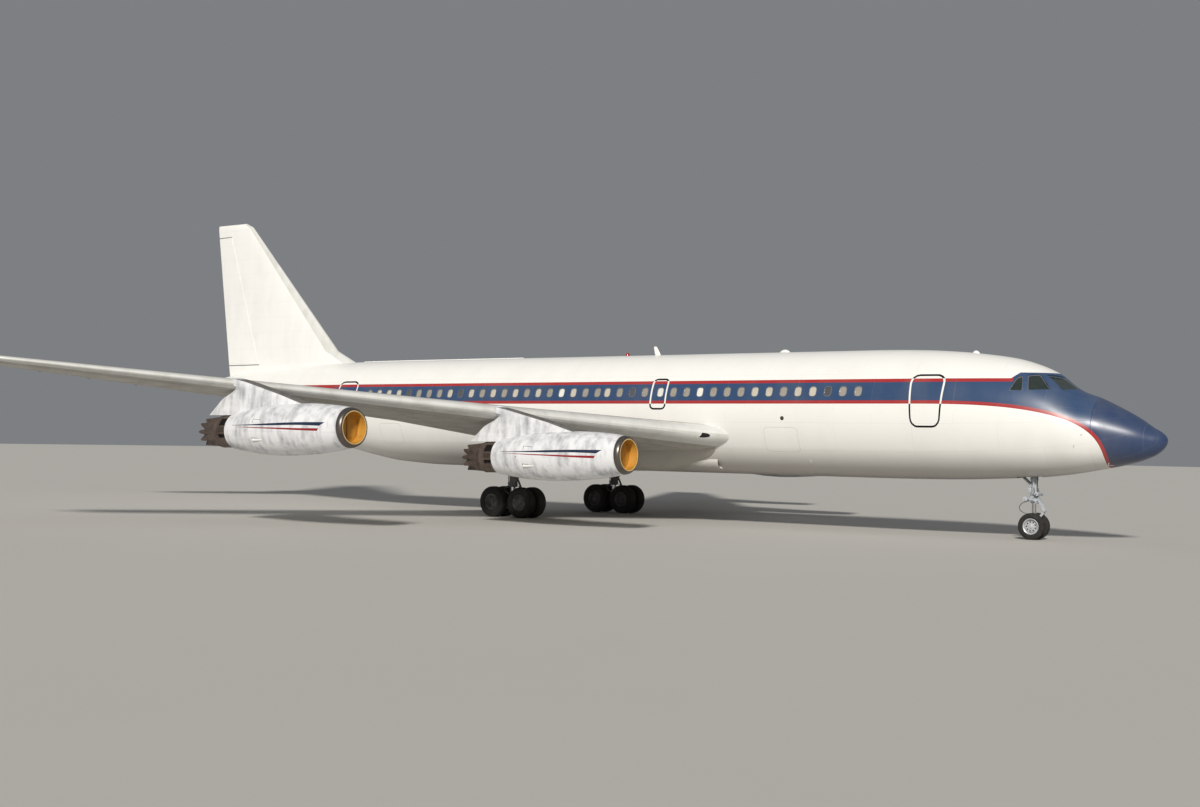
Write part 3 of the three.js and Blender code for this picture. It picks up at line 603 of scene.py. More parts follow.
# cabin windows, flight deck windows and doors
windows = {
    "count": 41,
    "firstX": 11.545,
    "pitch": 0.4826,
    "exitShift": 0.1,       # the sixteenth to the nineteenth, round the wing exits, stand further aft
    "z": 4.081,
    "width": 0.21,
    "height": 0.27,
    "corner": 0.075,
    "perCorner": 4,
    "depth": 0.03,
    "trim": 0.014,
    "blinds": "MMDBBMBBMMMWMMWMDMBMMBWMBMBMBMBDBMMMDBBBM",  # dark: the cabin as painted shade; or a blind, middling, bright or white
}
doors = {
    # side, centre along the body, foot, top, width, width of the foot as a share of that
    "galleyForward": (-1, 13.59, 3.08, 4.53, 0.985, 0.83),
    "galleyAft": (-1, -8.95, 3.08, 4.53, 0.985, 0.83),
    "entryForward": (1, 13.45, 2.92, 4.78, 0.90, 0.92),
    "entryAft": (1, -9.15, 2.92, 4.78, 0.90, 0.92),
    "exitStarboard": (-1, 4.735, 3.56, 4.49, 0.55, 1.0),
    "exitPort": (1, 4.735, 3.56, 4.49, 0.55, 1.0),
}
lining = {"width": 0.055, "proud": 0.0015, "sunk": 0.006, "seam": 0.012, "seamDepth": 0.012}


def roundedOutline(centreX, low, high, width, corner, perCorner, perSide=1):
    # an upright rectangle with round corners, as points of x and z, with more of them up the long sides
    points = []
    for quarter, (sx, sz) in enumerate(((1, 1), (-1, 1), (-1, -1), (1, -1))):
        cx = centreX + sx * (width / 2 - corner)
        cz = (high - corner) if sz > 0 else (low + corner)
        for k in range(perCorner + 1):
            turn = math.radians(90 * quarter + 90 * k / perCorner)
            points.append((cx + corner * math.cos(turn), cz + corner * math.sin(turn)))
        if quarter in (1, 3):
            rise = sx * (high - low - 2 * corner)
            points += [(cx + sx * corner, cz + rise * k / perSide) for k in range(1, perSide)]
    return points


def doorOutline(door, grow):
    # an exit's outline, grown all round; its sides draw in towards the foot
    _, x, low, high, width, foot = door
    outline = roundedOutline(x, low - grow, high + grow, width + 2 * grow, width * 0.24 + grow, 8, 12)
    return [(x + (u - x) * (1 - (1 - foot) * (high - v) / (high - low)), v) for u, v in outline]


def windowPlaces():
    places = []
    for number in range(1, windows["count"] + 1):
        x = windows["firstX"] - (number - 1) * windows["pitch"]
        if 16 <= number <= 19:
            x -= windows["exitShift"]
        places.append((number, x))
    return places


def bandOnSkin(bm, outlines, side, levels):
    # a closed ring on the skin between two outlines, from one depth to another
    outer, inner = outlines
    low, high = levels

    def pointAt(place, angle):
        ring = (outer, outer, inner, inner)[place]
        out = (low, high, high, low)[place]
        count = len(ring)
        x, z = ring[round(angle / math.tau * count) % count]
        return bodyPoint(x, z, side, out)

    return loft(bm, range(4), len(outer), pointAt, loop=True)


def plugOnSkin(bm, outline, side, levels):
    # a closed plug with the outline's shape, between two depths
    def pointAt(place, angle):
        count = len(outline)
        x, z = outline[round(angle / math.tau * count) % count]
        return bodyPoint(x, z, side, levels[place])

    return loft(bm, range(2), len(outline), pointAt)


def makeBodySkin():
    start, end, last = bodyRings["parallelFrom"], bodyRings["parallelTo"], bodyStations[-1][0]
    nose, middle, tail = bodyRings["nose"], bodyRings["middle"], bodyRings["tail"]
    rings = [(start * (i / nose) ** bodyRings["crowding"], 0.0) for i in range(nose + 1)]
    rings += [(start + (end - start) * i / middle, 0.0) for i in range(1, middle + 1)]
    rings += [(end + (last - end) * i / tail, 0.0) for i in range(1, tail + 1)]
    for joint in bodyJoints.values():
        rings += [(joint - 0.006, 0.0), (joint, 0.007), (joint + 0.006, 0.0)]
    rings.sort()
    bm = newMesh()

    def pointAt(ring, angle):
        aft, sunk = ring
        top, bottom, half = bodyRow(noseX - aft)
        return Vector((noseX - aft, (half - sunk) * math.cos(angle),
                       (top + bottom) / 2 + ((top - bottom) / 2 - sunk) * math.sin(angle)))

    loft(bm, rings, bodyRings["sides"], pointAt)
    skin = asObject("body_skin", bm)

    cutters = newMesh()
    low, high = windows["z"] - windows["height"] / 2, windows["z"] + windows["height"] / 2
    for side in (1, -1):
        for _, x in windowPlaces():
            outline = roundedOutline(x, low, high, windows["width"], windows["corner"], windows["perCorner"])
            plugOnSkin(cutters, outline, side, (-windows["depth"], 0.05))
    for door in doors.values():
        outlines = (doorOutline(door, 0), doorOutline(door, -lining["seam"]))
        groove = bandOnSkin(cutters, outlines, door[0], (-lining["seamDepth"], 0.03))
        for face in groove:
            face.material_index = 1
    bay = noseBay["x"]
    corners = block(cutters, (bay[0], -noseBay["half"], 1.0), (bay[1], noseBay["half"], noseBay["top"]), edge=0)
    for face in {face for vert in corners for face in vert.link_faces}:
        face.material_index = 2
    for corners in flightDeckPanes():
        paneSolid(cutters, corners, (-paneLook["depth"], 0.3), paneLook["corner"])
    looks = [finish["body"], finish["black"], finish["gear"]]
    cutter = asObject("cutters", cutters)
    for item in (skin, cutter):
        for look in looks:
            item.data.materials.append(look)
    carve(skin, cutter)
    dress(skin, looks, slot="white_paint", nodes=("fuselage", "nose_radome", "tail_cone"), sharp=28)


noseBay = {"x": (15.72, 16.40), "half": 0.26, "top": 2.35}
paneLook = {"depth": 0.045, "corner": 0.045, "cornerReach": 1.4, "glass": 0.030, "trim": 0.02}


def flightDeckPanes():
    # three flat panes a side, starboard corners from the front bottom round; the windscreen's inner edge
    # stands 60 mm off the middle
    starboard = {
        "windscreen": ((17.42, -0.06, 4.13), (17.00, -0.06, 4.49), (16.63, -0.575, 4.53), (17.13, -0.72, 4.105)),
        "slidingPane": ((16.88, -0.91, 4.115), (16.50, -0.67, 4.545), (16.23, -0.855, 4.53), (16.33, -1.17, 4.10)),
        "rearPane": ((16.20, -1.22, 4.09), (16.11, -0.925, 4.51), (15.98, -1.02, 4.46), (15.85, -1.31, 4.09)),
    }
    out = []
    for corners in starboard.values():
        out.append([Vector(c) for c in corners])
        out.append([Vector((x, -y, z)) for x, y, z in reversed(corners)])
    return out


def flattened(corners):
    # a pane's middle, its normal turned upward, and its corners brought onto one plane
    centre = sum(corners, Vector()) / 4
    normal = (corners[2] - corners[0]).cross(corners[3] - corners[1]).normalized()
    if normal.z < 0:
        normal.negate()
    return centre, normal, [c - normal * (c - centre).dot(normal) for c in corners]


def paneSolid(bm, corners, levels, corner, grow=0.0):
    # a flat plate with round corners, between two levels along its own normal
    centre, normal, flat = flattened(corners)
    flat = [c + (c - centre).normalized() * grow for c in flat]
    face = bm.faces.new([bm.verts.new(c + normal * levels[0]) for c in flat])
    lifted = bmesh.ops.extrude_face_region(bm, geom=[face])["geom"]
    top = [part for part in lifted if isinstance(part, bmesh.types.BMVert)]
    bmesh.ops.translate(bm, verts=top, vec=normal * (levels[1] - levels[0]))
    posts = [edge for vert in top for edge in vert.link_edges if edge.other_vert(vert) not in top]
    bmesh.ops.bevel(bm, geom=posts, offset=corner, affect="EDGES", segments=4, profile=0.5, material=-1)


def makeWindows():
    panes, trims = newMesh(), newMesh()
    halfHeight = windows["height"] / 2
    for side in (1, -1):
        for number, x in windowPlaces():
            low, high = windows["z"] - halfHeight, windows["z"] + halfHeight
            inner = roundedOutline(x, low, high, windows["width"], windows["corner"], windows["perCorner"])
            pane = plugOnSkin(panes, inner, side, (-windows["depth"] - 0.004, -windows["depth"] + 0.014))
            for face in pane:
                face.material_index = "DMBW".index(windows["blinds"][number - 1])
            edge = windows["trim"]
            outer = roundedOutline(x, low - edge, high + edge, windows["width"] + 2 * edge,
                                   windows["corner"] + edge, windows["perCorner"])
            bandOnSkin(trims, (outer, inner), side, (-0.004, 0.003))
    # stretched acrylic panes with fabric blinds drawn behind them: milky beige under a smooth clear skin; with no
    # blind, the cabin behind is painted shade
    shades = [plainFinish(name, colour, soil, soil=0.4, patch=0.5, grain=0.02, bump=0.03, rough=(0.1, 0.2),
                          Coat_Weight=1.0, Coat_Roughness=0.04)
              for name, colour, soil in (("acrylicOverPaintedShade", "#55565a", "#3a3c40"),
                                         ("acrylicOverBlind", "#a29c90", "#78746c"),
                                         ("acrylicOverBrightBlind", "#cbc4b4", "#9f9a8e"),
                                         ("acrylicOverWhiteBlind", "#eeece2", "#c2beb2"))]
    dress(asObject("cabin_window_panes", panes), shades, slot="flight_deck_glass", sharp=40)
    dress(asObject("cabin_window_trims", trims), [finish["trim"]], sharp=40)

    glass, frames = newMesh(), newMesh()
    for corners in flightDeckPanes():
        paneSolid(glass, corners, (-paneLook["depth"] - 0.01, -paneLook["glass"]), paneLook["corner"], 0.004)
    dress(asObject("flight_deck_panes", glass), [finish["glass"]], slot="flight_deck_glass",
          nodes=("flight_deck_glazing",), sharp=40)
    for corners in flightDeckPanes():
        paneTrim(frames, corners)
    dress(asObject("flight_deck_trims", frames), [finish["trim"]], sharp=40)


def paneTrim(bm, corners):
    # a narrow retainer round each pane, a loop of four-sided section
    centre, normal, flat = flattened(corners)
    outline = []
    for i, here in enumerate(flat):
        before, after = flat[i - 1], flat[(i + 1) % 4]
        a, b = (here + (there - here).normalized() * paneLook["corner"] * paneLook["cornerReach"]
                for there in (before, after))
        for k in range(5):
            t = k / 4
            outline.append((1 - t) ** 2 * a + 2 * t * (1 - t) * here + t ** 2 * b)

    def pointAt(place, angle):
        count = len(outline)
        point = outline[round(angle / math.tau * count) % count]
        inward = (centre - point).normalized() * paneLook["trim"]
        depth = (-paneLook["glass"] - 0.004, -paneLook["glass"] + 0.014)
        return point + (inward if place in (2, 3) else Vector()) + normal * depth[place in (1, 2)]

    loft(bm, range(4), len(outline), pointAt, loop=True)


def makeDoorLinings():
    # the painted line round each exit: white where it crosses the band, black on the white paint
    shadeBlack, pale = newMesh(), newMesh()
    half = lining["width"] / 2
    for door in doors.values():
        for bm in (shadeBlack, pale):
            bandOnSkin(bm, (doorOutline(door, half), doorOutline(door, -half)), door[0],
                       (-lining["sunk"], lining["proud"]))
    footBand = livery["bandLow"] - livery["redWidth"]
    topBand = livery["bandHigh"] + livery["redWidth"]
    for bm, keepsBand in ((shadeBlack, False), (pale, True)):
        for height in (footBand, topBand):
            bmesh.ops.bisect_plane(bm, geom=bm.verts[:] + bm.edges[:] + bm.faces[:], plane_co=(0, 0, height),
                                   plane_no=(0, 0, 1))
        inBand = [face for face in bm.faces if footBand < face.calc_center_median().z < topBand]
        outBand = [face for face in bm.faces if face not in set(inBand)]
        bmesh.ops.delete(bm, geom=outBand if keepsBand else inBand, context="FACES")
        bmesh.ops.holes_fill(bm, edges=[edge for edge in bm.edges if edge.is_boundary], sides=0)
    dress(asObject("door_linings_black", shadeBlack), [finish["black"]], sharp=40)
    dress(asObject("door_linings_white", pale), [finish["outlineWhite"]], sharp=40)


makeBodySkin()
makeWindows()
makeDoorLinings()
print("body, windows and doors made")

# wing, tailplane and fin, sections as in the CAD model:
# span place, leading edge, trailing edge, height, incidence, thickness ratio
wingTip = cadBox[1].y
wingStations = [
    (0.9, 8.05, -1.13, 2.70, 2.5, 0.10), (1.5, 7.42, -1.235, 2.77, 2.5, 0.105),
    (2.4, 6.33, -1.47, 2.87, 2.4, 0.11), (6.0, 3.48, -2.40, 3.235, 1.8, 0.105),
    (17.8, -5.84, -8.10, 4.44, 0, 0.09), (wingTip, -6.50, -8.33, 4.49, 0, 0.07),
]
tailStations = [
    (0.3, -13.67, -17.70, 4.23, 0, 0.10), (5.7, -17.88, -19.64, 4.76, 0, 0.09), (5.9, -18.20, -noseX, 4.78, 0, 0.06),
]
finStations = [
    (4.6, -9.10, -17.12, 0.07), (5.25, -9.90, -17.23, 0.078), (5.8, -11.05, -17.31, 0.09),
    (10.9, -15.99, -18.06, 0.09), (cadBox[1].z, -16.35, -18.08, 0.06),
]
foil = {"sides": 56, "step": 0.5, "bareNose": 0.07, "tipRound": 0.22}
surfaces = {
    # ends in span, distance of the hinge line ahead of the trailing edge at each, gap in the cove
    "flap_inboard": (2.0, 5.75, 1.0, 1.15, 0.022),
    "flap_outboard": (6.15, 11.2, 1.15, 0.85, 0.022),
    "aileron": (11.45, 16.5, 0.83, 0.56, 0.012),
    "elevator": (1.15, 5.5, 1.08, 0.56, 0.012),
    "rudder": (5.35, 10.55, 1.9, 0.8, 0.012),
}
hinges = {"gap": 0.006, "endGap": 0.02, "rudderEndGap": 0.04, "pin": 0.022, "pinDepth": 0.06, "reach": 0.4,
          "nose": 0.9, "blockDepth": 2.5, "barOver": 0.6, "barSides": 48}


def foilHalf(share, ratio):
    # half thickness of a closed four-digit section, as a share of its chord
    s = min(max(share, 0.0), 1.0)
    return 5 * ratio * (0.2969 * math.sqrt(s) - 0.126 * s - 0.3516 * s ** 2 + 0.2843 * s ** 3 - 0.1036 * s ** 4)


def sectionPoint(row, share, face, upright, thin):
    # a point of one section: share of the chord aft, face 1 on top and -1 below, 0 on the middle surface
    lead, trail = row[1], row[2]
    chord = lead - trail
    up = face * foilHalf(share, row[-1]) * chord * thin
    aft = 0.4 + (share - 0.4) * (0.95 + 0.05 * thin)
    if upright:
        return Vector((lead - aft * chord, up, row[0]))
    tilt = math.radians(row[4])
    return Vector((lead - aft * chord - math.sin(tilt) * up, row[0], row[3] - math.tan(tilt) * aft * chord + up))


def foilPoint(stations, place, share, face, upright=False):
    # the surface is ruled between two stations, and its tip is rounded over
    last = len(stations) - 1
    i = next((k for k in range(last) if stations[k + 1][0] >= place), last - 1)
    over = (place - stations[last][0] + foil["tipRound"]) / foil["tipRound"]
    thin = math.sqrt(max(0.003, 1 - max(over, 0.0) ** 2))
    a, b = (sectionPoint(row, share, face, upright, thin) for row in stations[i:i + 2])
    return a.lerp(b, (place - stations[i][0]) / (stations[i + 1][0] - stations[i][0]))


def measured(stations, place, measure):
    last = len(stations) - 1
    i = next((k for k in range(last) if stations[k + 1][0] >= place), last - 1)
    share = (place - stations[i][0]) / (stations[i + 1][0] - stations[i][0])
    return measure(stations[i]) * (1 - share) + measure(stations[i + 1]) * share


def chordOf(row):
    return row[1] - row[2]


def leadAndChord(stations, place):
    return measured(stations, place, lambda row: row[1]), measured(stations, place, chordOf)


def foilSolid(name, stations, looks, upright=False):
    # a band of faces round the leading edge takes the second finish
    places = []
    for a, b in zip(stations, stations[1:]):
        count = max(2, round((b[0] - a[0]) / foil["step"]))
        places += [a[0] + (b[0] - a[0]) * i / count for i in range(count)]
    roundFrom = stations[-1][0] - foil["tipRound"]
    places = [p for p in places if p < roundFrom - 0.02]
    places += [roundFrom + foil["tipRound"] * math.sin(math.radians(t)) for t in range(0, 91, 15)]

    def pointAt(place, angle):
        share = (1 - math.cos(angle)) / 2
        face = 0 if share < 1e-9 or share > 1 - 1e-9 else math.copysign(1, math.sin(angle))
        return foilPoint(stations, place, share, face, upright)

    bm = newMesh()
    loft(bm, places, foil["sides"], pointAt)
    for face in bm.faces:
        centre = face.calc_center_median()
        place = min(centre.z if upright else centre.y, stations[-1][0])
        lead = measured(stations, place, lambda row: row[1])
        face.material_index = 1 if lead - centre.x < foil["bareNose"] * measured(stations, place, chordOf) else 0
    item = asObject(name, bm)
    for look in looks:
        item.data.materials.append(look)
    return item


def hingeKnots(stations, start, end, low, high):
    # points of the hinge line with the foil's real half thickness, at its ends and at each station
    knots = []
    for place in [start, *[row[0] for row in stations if start < row[0] < end], end]:
        point = low.lerp(high, (place - start) / (end - start))
        share = (measured(stations, place, lambda row: row[1]) - point.x) / measured(stations, place, chordOf)
        knots.append((point, foilHalf(share, 1) * measured(stations, place, lambda row: row[-1] * chordOf(row))))
    return knots


def hingeBar(knots, scale, extra):
    # a round bar along a hinge line, as thick as the foil there, run past both ends
    def past(end, following):
        reach = -hinges["barOver"] / (following[0] - end[0]).length
        return end[0].lerp(following[0], reach), end[1] + (following[1] - end[1]) * reach

    rings = [past(knots[0], knots[1]), *knots, past(knots[-1], knots[-2])]
    way = (knots[-1][0] - knots[0][0]).normalized()
    across = Vector((1, 0, 0)).cross(way).normalized()
    lift = way.cross(across)
    bm = newMesh()
    loft(bm, rings, hinges["barSides"], lambda ring, angle:
         ring[0] + (across * math.cos(angle) + lift * math.sin(angle)) * (ring[1] * scale + extra))
    return asObject("bar", bm)


def hingePin(knots, over):
    way = (knots[-1][0] - knots[0][0]).normalized()
    bm = newMesh()
    rod(bm, knots[0][0] - way * over, knots[-1][0] + way * over, hinges["pin"])
    return asObject("pin", bm)


def hingeBlock(knots, margin, front):
    # a block with its ends square to the hinge line, from some way behind that line to well aft
    low, high = knots[0][0], knots[-1][0]
    way = (high - low).normalized()
    aft = Vector((-abs(way.y), way.x if way.y > 0 else -way.x, 0)).normalized()
    depth = hinges["blockDepth"] - front
    middle = (low + high) / 2 + aft * (front + depth / 2)
    turn = Matrix((way, aft, way.cross(aft))).transposed().to_4x4()
    size = Matrix.Diagonal(((high - low).length + 2 * margin, depth, 2 * hinges["blockDepth"], 1))
    bm = newMesh()
    bmesh.ops.create_cube(bm, size=1, matrix=Matrix.Translation(middle) @ turn @ size)
    return asObject("block", bm)


def duplicate(item, name):
    twin = bpy.data.objects.new(name, item.data.copy())
    bpy.context.scene.collection.objects.link(twin)
    return twin


def cutSurface(whole, name, stations):
    # the hinged surface is cut out of its wing, with a round nose that turns in a cove
    start, end, chordIn, chordOut, coveGap = surfaces[name]

    def middlePoint(place, ahead):
        share = 1 - ahead / measured(stations, place, chordOf)
        return foilPoint(stations, place, share, 0)

    knots = hingeKnots(stations, start, end, middlePoint(start, chordIn), middlePoint(end, chordOut))
    leaf = carve(duplicate(whole, name), hingeBlock(knots, 0, hinges["gap"]), "INTERSECT")
    nose = carve(hingeBar(knots, hinges["nose"], 0), hingeBlock(knots, 0, -hinges["reach"]), "INTERSECT")
    carve(nose, hingePin(knots, hinges["endGap"] + hinges["pinDepth"]), "UNION")
    carve(leaf, nose, "UNION")
    carve(whole, hingeBlock(knots, hinges["endGap"], 0))
    carve(whole, carve(hingeBar(knots, 1, coveGap), hingeBlock(knots, hinges["endGap"], -hinges["reach"]),
                       "INTERSECT"))
    return leaf


def addBothSides(item, stem, looks, slot, body=None):
    twin = mirrored(item, stem + "_starboard_skin")
    item.name = stem + "_port_skin"
    for piece, side in ((item, "port"), (twin, "starboard")):
        rides = f"{body}_{side}" if body else "root"
        dress(piece, looks, body=rides, slot=slot, nodes=(f"{stem}_{side}",), sharp=24)


def makeWings():
    looks = [finish["wing"], finish["edge"]]
    wing = foilSolid("wing", wingStations, looks)
    for name in ("flap_inboard", "flap_outboard", "aileron"):
        leaf = cutSurface(wing, name, wingStations)
        addBothSides(leaf, name, looks, "white_paint", body=name)
    addBothSides(wing, "wing", looks, "white_paint")
    looks = [finish["white"], finish["edge"]]
    tail = foilSolid("tailplane", tailStations, looks)
    leaf = cutSurface(tail, "elevator", tailStations)
    addBothSides(leaf, "elevator", looks, "white_paint", body="elevator")
    addBothSides(tail, "tailplane", looks, "white_paint")


rootFairing = {
    "inner": 0.70,
    # place along the body, middle height, reach up, down and out
    "rows": [(-2.6, 2.35, 0.04, 0.50, 0.65), (-0.9, 2.41, 0.04, 0.80, 1.11), (0.2, 2.46, 0.10, 0.88, 1.21),
             (0.7, 2.48, 0.15, 0.90, 1.38), (2.5, 2.56, 0.23, 0.98, 1.38), (4.4, 2.65, 0.25, 1.04, 1.28),
             (5.7, 2.70, 0.20, 0.86, 1.00), (6.67, 2.71, 0.12, 0.64, 0.89), (6.86, 2.70, 0.09, 0.37, 0.87),
             (7.23, 2.64, 0.03, 0.04, 0.85)],
}
bellyScoop = {
    "centre": (0.945, 1.88),     # out from the middle, height
    "tilt": math.radians(35),    # of its face, from level
    "halfWidth": 0.225,
    "proud": 0.15,
    "rings": [(6.56, 1.0), (6.3, 1.0), (6.0, 0.97), (5.7, 0.8), (5.44, 0.5), (5.2, 0.2)],
    "mouth": 0.88,               # of its size, where it is open
    "lamp": (6.50, 0.77, 1.77, 0.05),
}
edgePort = {
    "rows": [(1.975, 0.10), (1.985, 0.40), (2.005, 0.66), (2.04, 0.86), (2.08, 0.96), (2.12, 1.0), (2.152, 1.0)],
    "middle": -0.072, "half": 0.062, "rim": 0.010,
}


def makeRoots():
    # the swelling between each wing's underside and the belly, a scoop ahead of it, a port in the leading edge
    table = rootFairing["rows"]
    places = [table[0][0] + (table[-1][0] - table[0][0]) * k / 60 for k in range(61)]
    bm = newMesh()

    def fairingPoint(x, angle):
        middle, up, down, out = smoothRow(table, x)
        rise = up if math.sin(angle) > 0 else down
        return Vector((x, rootFairing["inner"] + out * math.cos(angle), middle + rise * math.sin(angle)))

    loft(bm, places, 56, fairingPoint)
    dressPair("root_fairing", bm, [finish["wing"]], "white_paint")

    out, z = bellyScoop["centre"]
    tilt = bellyScoop["tilt"]
    away = Vector((0, math.sin(tilt), -math.cos(tilt)))
    along = Vector((0, math.cos(tilt), math.sin(tilt)))

    def scoopPoint(ring, angle):
        x, size, shrink = ring
        wide, high = bellyScoop["halfWidth"] * size * shrink, bellyScoop["proud"] * size * shrink
        return Vector((x, out, z)) + along * wide * math.cos(angle) + away * (high * math.sin(angle) - 0.02)

    mouth = bellyScoop["mouth"]
    rings = [(x, size, 1.0) for x, size in bellyScoop["rings"][::-1]]
    first = rings[-1][0]
    rings += [(first + 0.02, 0.985, 1.0), (first + 0.026, 0.96, 1.0), (first + 0.015, 0.93, mouth / 0.93)]
    rings += [(first - 0.15, 1.0, mouth), (first - 0.35, 0.9, mouth)]
    bm = newMesh()
    loft(bm, rings, 32, scoopPoint)
    for face in bm.faces:  # black inside the mouth, painted shade
        middle = face.calc_center_median()
        inside = ((middle - Vector((0, out, z))) * Vector((0, 1, 1))).length < 0.09
        face.material_index = 1 if middle.x > first - 0.4 and inside else 0
    dressPair("belly_scoop", bm, [finish["body"], finish["shadeBlack"]], "white_paint")
    x, lampOut, lampZ, radius = bellyScoop["lamp"]
    bm = newMesh()
    bmesh.ops.create_uvsphere(bm, u_segments=20, v_segments=14, radius=radius,
                              matrix=Matrix.Translation((x, lampOut, lampZ)))
    rod(bm, (x, lampOut, lampZ), (x - 0.06, lampOut * 0.98, lampZ + 0.07), radius * 0.6)
    dressPair("root_lamp", bm, [finish["lamp"]])

    # v is the square root of the share of the chord, so it runs evenly round the leading edge
    def edgePoint(place, v, lift):
        face = 1 if v >= 0 else -1
        point, nose = foilPoint(wingStations, place, v * v, face), foilPoint(wingStations, place, 0.01, 0)
        return point + (point - nose).normalized() * lift

    # a pale rim, and inside it a black port that is painted shade in its opening
    for stem, grow, levels, look in (("edge_port_rim", edgePort["rim"], (-0.004, 0.003), "white"),
                                     ("edge_port", 0.0, (-0.004, 0.005), "shadeBlack")):
        rows = [(place - (grow if k == 0 else 0), share * edgePort["half"] + grow * 0.7) for k, (place, share)
                in enumerate(edgePort["rows"])]
        rows.append((rows[-1][0] + grow + 0.001, rows[-1][1]))
        bm = newMesh()
        middle = edgePort["middle"]
        ribbon(bm, [((place, middle - half), (place, middle + half)) for place, half in rows], edgePoint, levels, 8)
        dressPair(stem, bm, [finish[look]])


def sidePrism(outline, half):
    bm = newMesh()
    face = bm.faces.new([bm.verts.new((x, -half, z)) for x, z in outline])
    grown = bmesh.ops.extrude_face_region(bm, geom=[face])["geom"]
    bmesh.ops.translate(bm, verts=[g for g in grown if isinstance(g, bmesh.types.BMVert)], vec=(0, 2 * half, 0))
    return asObject("block", bm)


def makeFin():
    looks = [finish["white"], finish["edge"]]
    whole = foilSolid("fin", finStations, looks, upright=True)
    bottom, top, chordLow, chordHigh, coveGap = surfaces["rudder"]
    low = Vector((measured(finStations, bottom, lambda row: row[2]) + chordLow, 0, bottom))
    high = Vector((measured(finStations, top, lambda row: row[2]) + chordHigh, 0, top))
    knots = hingeKnots(finStations, bottom, top, low, high)
    slope = (high.x - low.x) / (top - bottom)
    farAft = -22

    def aftBlock(margin, back):
        front = [(low.x - back + slope * (z - bottom), z) for z in (bottom - margin, top + margin)]
        return sidePrism([*front, (farAft, top + margin), (farAft, bottom - margin)], 1.5)

    def level(margin):
        return sidePrism([(0, bottom - margin), (0, top + margin), (farAft, top + margin),
                          (farAft, bottom - margin)], 1.5)

    leaf = carve(duplicate(whole, "rudder_skin"), aftBlock(0, hinges["gap"]), "INTERSECT")
    carve(leaf, carve(hingeBar(knots, hinges["nose"], 0), level(0), "INTERSECT"), "UNION")
    carve(leaf, hingePin(knots, hinges["rudderEndGap"] + hinges["pinDepth"]), "UNION")
    carve(whole, aftBlock(hinges["rudderEndGap"], 0))
    carve(whole, carve(hingeBar(knots, 1, coveGap), level(hinges["rudderEndGap"]), "INTERSECT"))
    whole.name = "fin_skin"
    dress(leaf, looks, body="rudder", slot="white_paint", nodes=("rudder",), sharp=24)
    dress(whole, looks, slot="white_paint", nodes=("fin",), sharp=24)


makeWings()
makeRoots()
makeFin()
print("wings and tail made")

# engines: cowl with a bare lip, yellow cover set in the mouth, exhaust ring with its cascades, lobed nozzle
nacelle = {
    "rise": math.radians(1.8),
    "inboard": (6.95, 7.24, 2.14),   # span place, inlet along the body, inlet height
    "outboard": (12.75, 2.50, 2.74),
    "outer": [(0.13, 0.530), (0.16, 0.538), (0.75, 0.622), (1.7, 0.690), (2.5, 0.705), (3.3, 0.665),
              (4.0, 0.580), (4.5, 0.500)],
    "inner": [(0.0, 0.446), (0.27, 0.437), (0.7, 0.470), (1.2, 0.50)],
    "duct": [(4.5, 0.474), (4.0, 0.54), (3.3, 0.60), (2.7, 0.62), (2.5, 0.62), (1.2, 0.52), (0.7, 0.47),
             (0.27, 0.437)],
    "lipWidth": 0.156,
    "lipFront": 0.456,               # radius of its foremost ring
    "coverDepth": 0.27,
    "length": 4.5,
    "joints": (0.72, 3.30),          # round the cowl, where its doors begin and end
    "sides": 72,
    "lineSteps": 5,                  # between two marks of a painted line
}
# two plain tapering stripes, which may not read as a figure or a letter: left and right edge, each as metres
# aft of the mouth and above the axis
cowlLines = {
    "blue": [((4.119, 0.152), (4.114, 0.142)), ((3.209, 0.156), (3.202, 0.121)), ((2.385, 0.172), (2.374, 0.102)),
             ((1.519, 0.178), (1.506, 0.091)), ((0.85, 0.169), (0.86, 0.062)), ((0.478, 0.160), (0.683, 0.051))],
    "red": [((3.90, 0.102), (3.898, 0.094)), ((2.917, 0.067), (2.915, 0.036)), ((2.369, 0.049), (2.368, 0.007)),
            ((1.503, 0.019), (1.504, -0.044)), ((0.872, 0.004), (0.88, -0.075)), ((0.712, 0.0), (0.752, -0.080))],
}
cowlDetails = {
    # edges of a small panel, the mouth of a scoop drawn black as painted shade, a latch: a line aft and up, and its
    # width
    "edges": [([(3.197, 0.185), (3.206, 0.292)], 0.012), ([(3.206, 0.290), (2.861, 0.262)], 0.008),
              ([(3.225, -0.212), (3.235, -0.325)], 0.018), ([(3.22, -0.216), (2.88, -0.252)], 0.012),
              ([(3.445, -0.005), (3.475, -0.005)], 0.02)],
    # a scoop low on each side: aft and how far it stands out, its height and half width
    "scoop": [(2.82, 0.003), (2.92, 0.016), (3.04, 0.028), (3.14, 0.034), (3.21, 0.036), (3.21, 0.026),
              (3.1, 0.020)],
    "scoopUp": -0.275,
    "scoopHalf": 0.05,
    # a flush oval plate ahead of it: middle aft and up, half length and half height
    "oval": (2.243, -0.33, 0.085, 0.032),
}


def nacellePlace(name, side):
    y, x, z = nacelle[name]
    a = nacelle["rise"]
    turn = Matrix(((-math.cos(a), 0, -math.sin(a)), (0, 1, 0), (-math.sin(a), 0, math.cos(a)))).transposed()
    return Matrix.Translation((x, side * y, z)) @ turn.to_4x4()


def lathe(bm, profile, closed=False):
    turned(bm, profile, (0, 0, 0), (1, 0, 0), (0, 0, 1), nacelle["sides"], closed)


def setOnEngine(name, bm, place, finishes, **settings):
    bmesh.ops.transform(bm, matrix=place, verts=bm.verts)
    dress(asObject(name, bm), finishes, **settings)


def cowlRadius(along):
    return smoothRow(nacelle["outer"], along)[0]


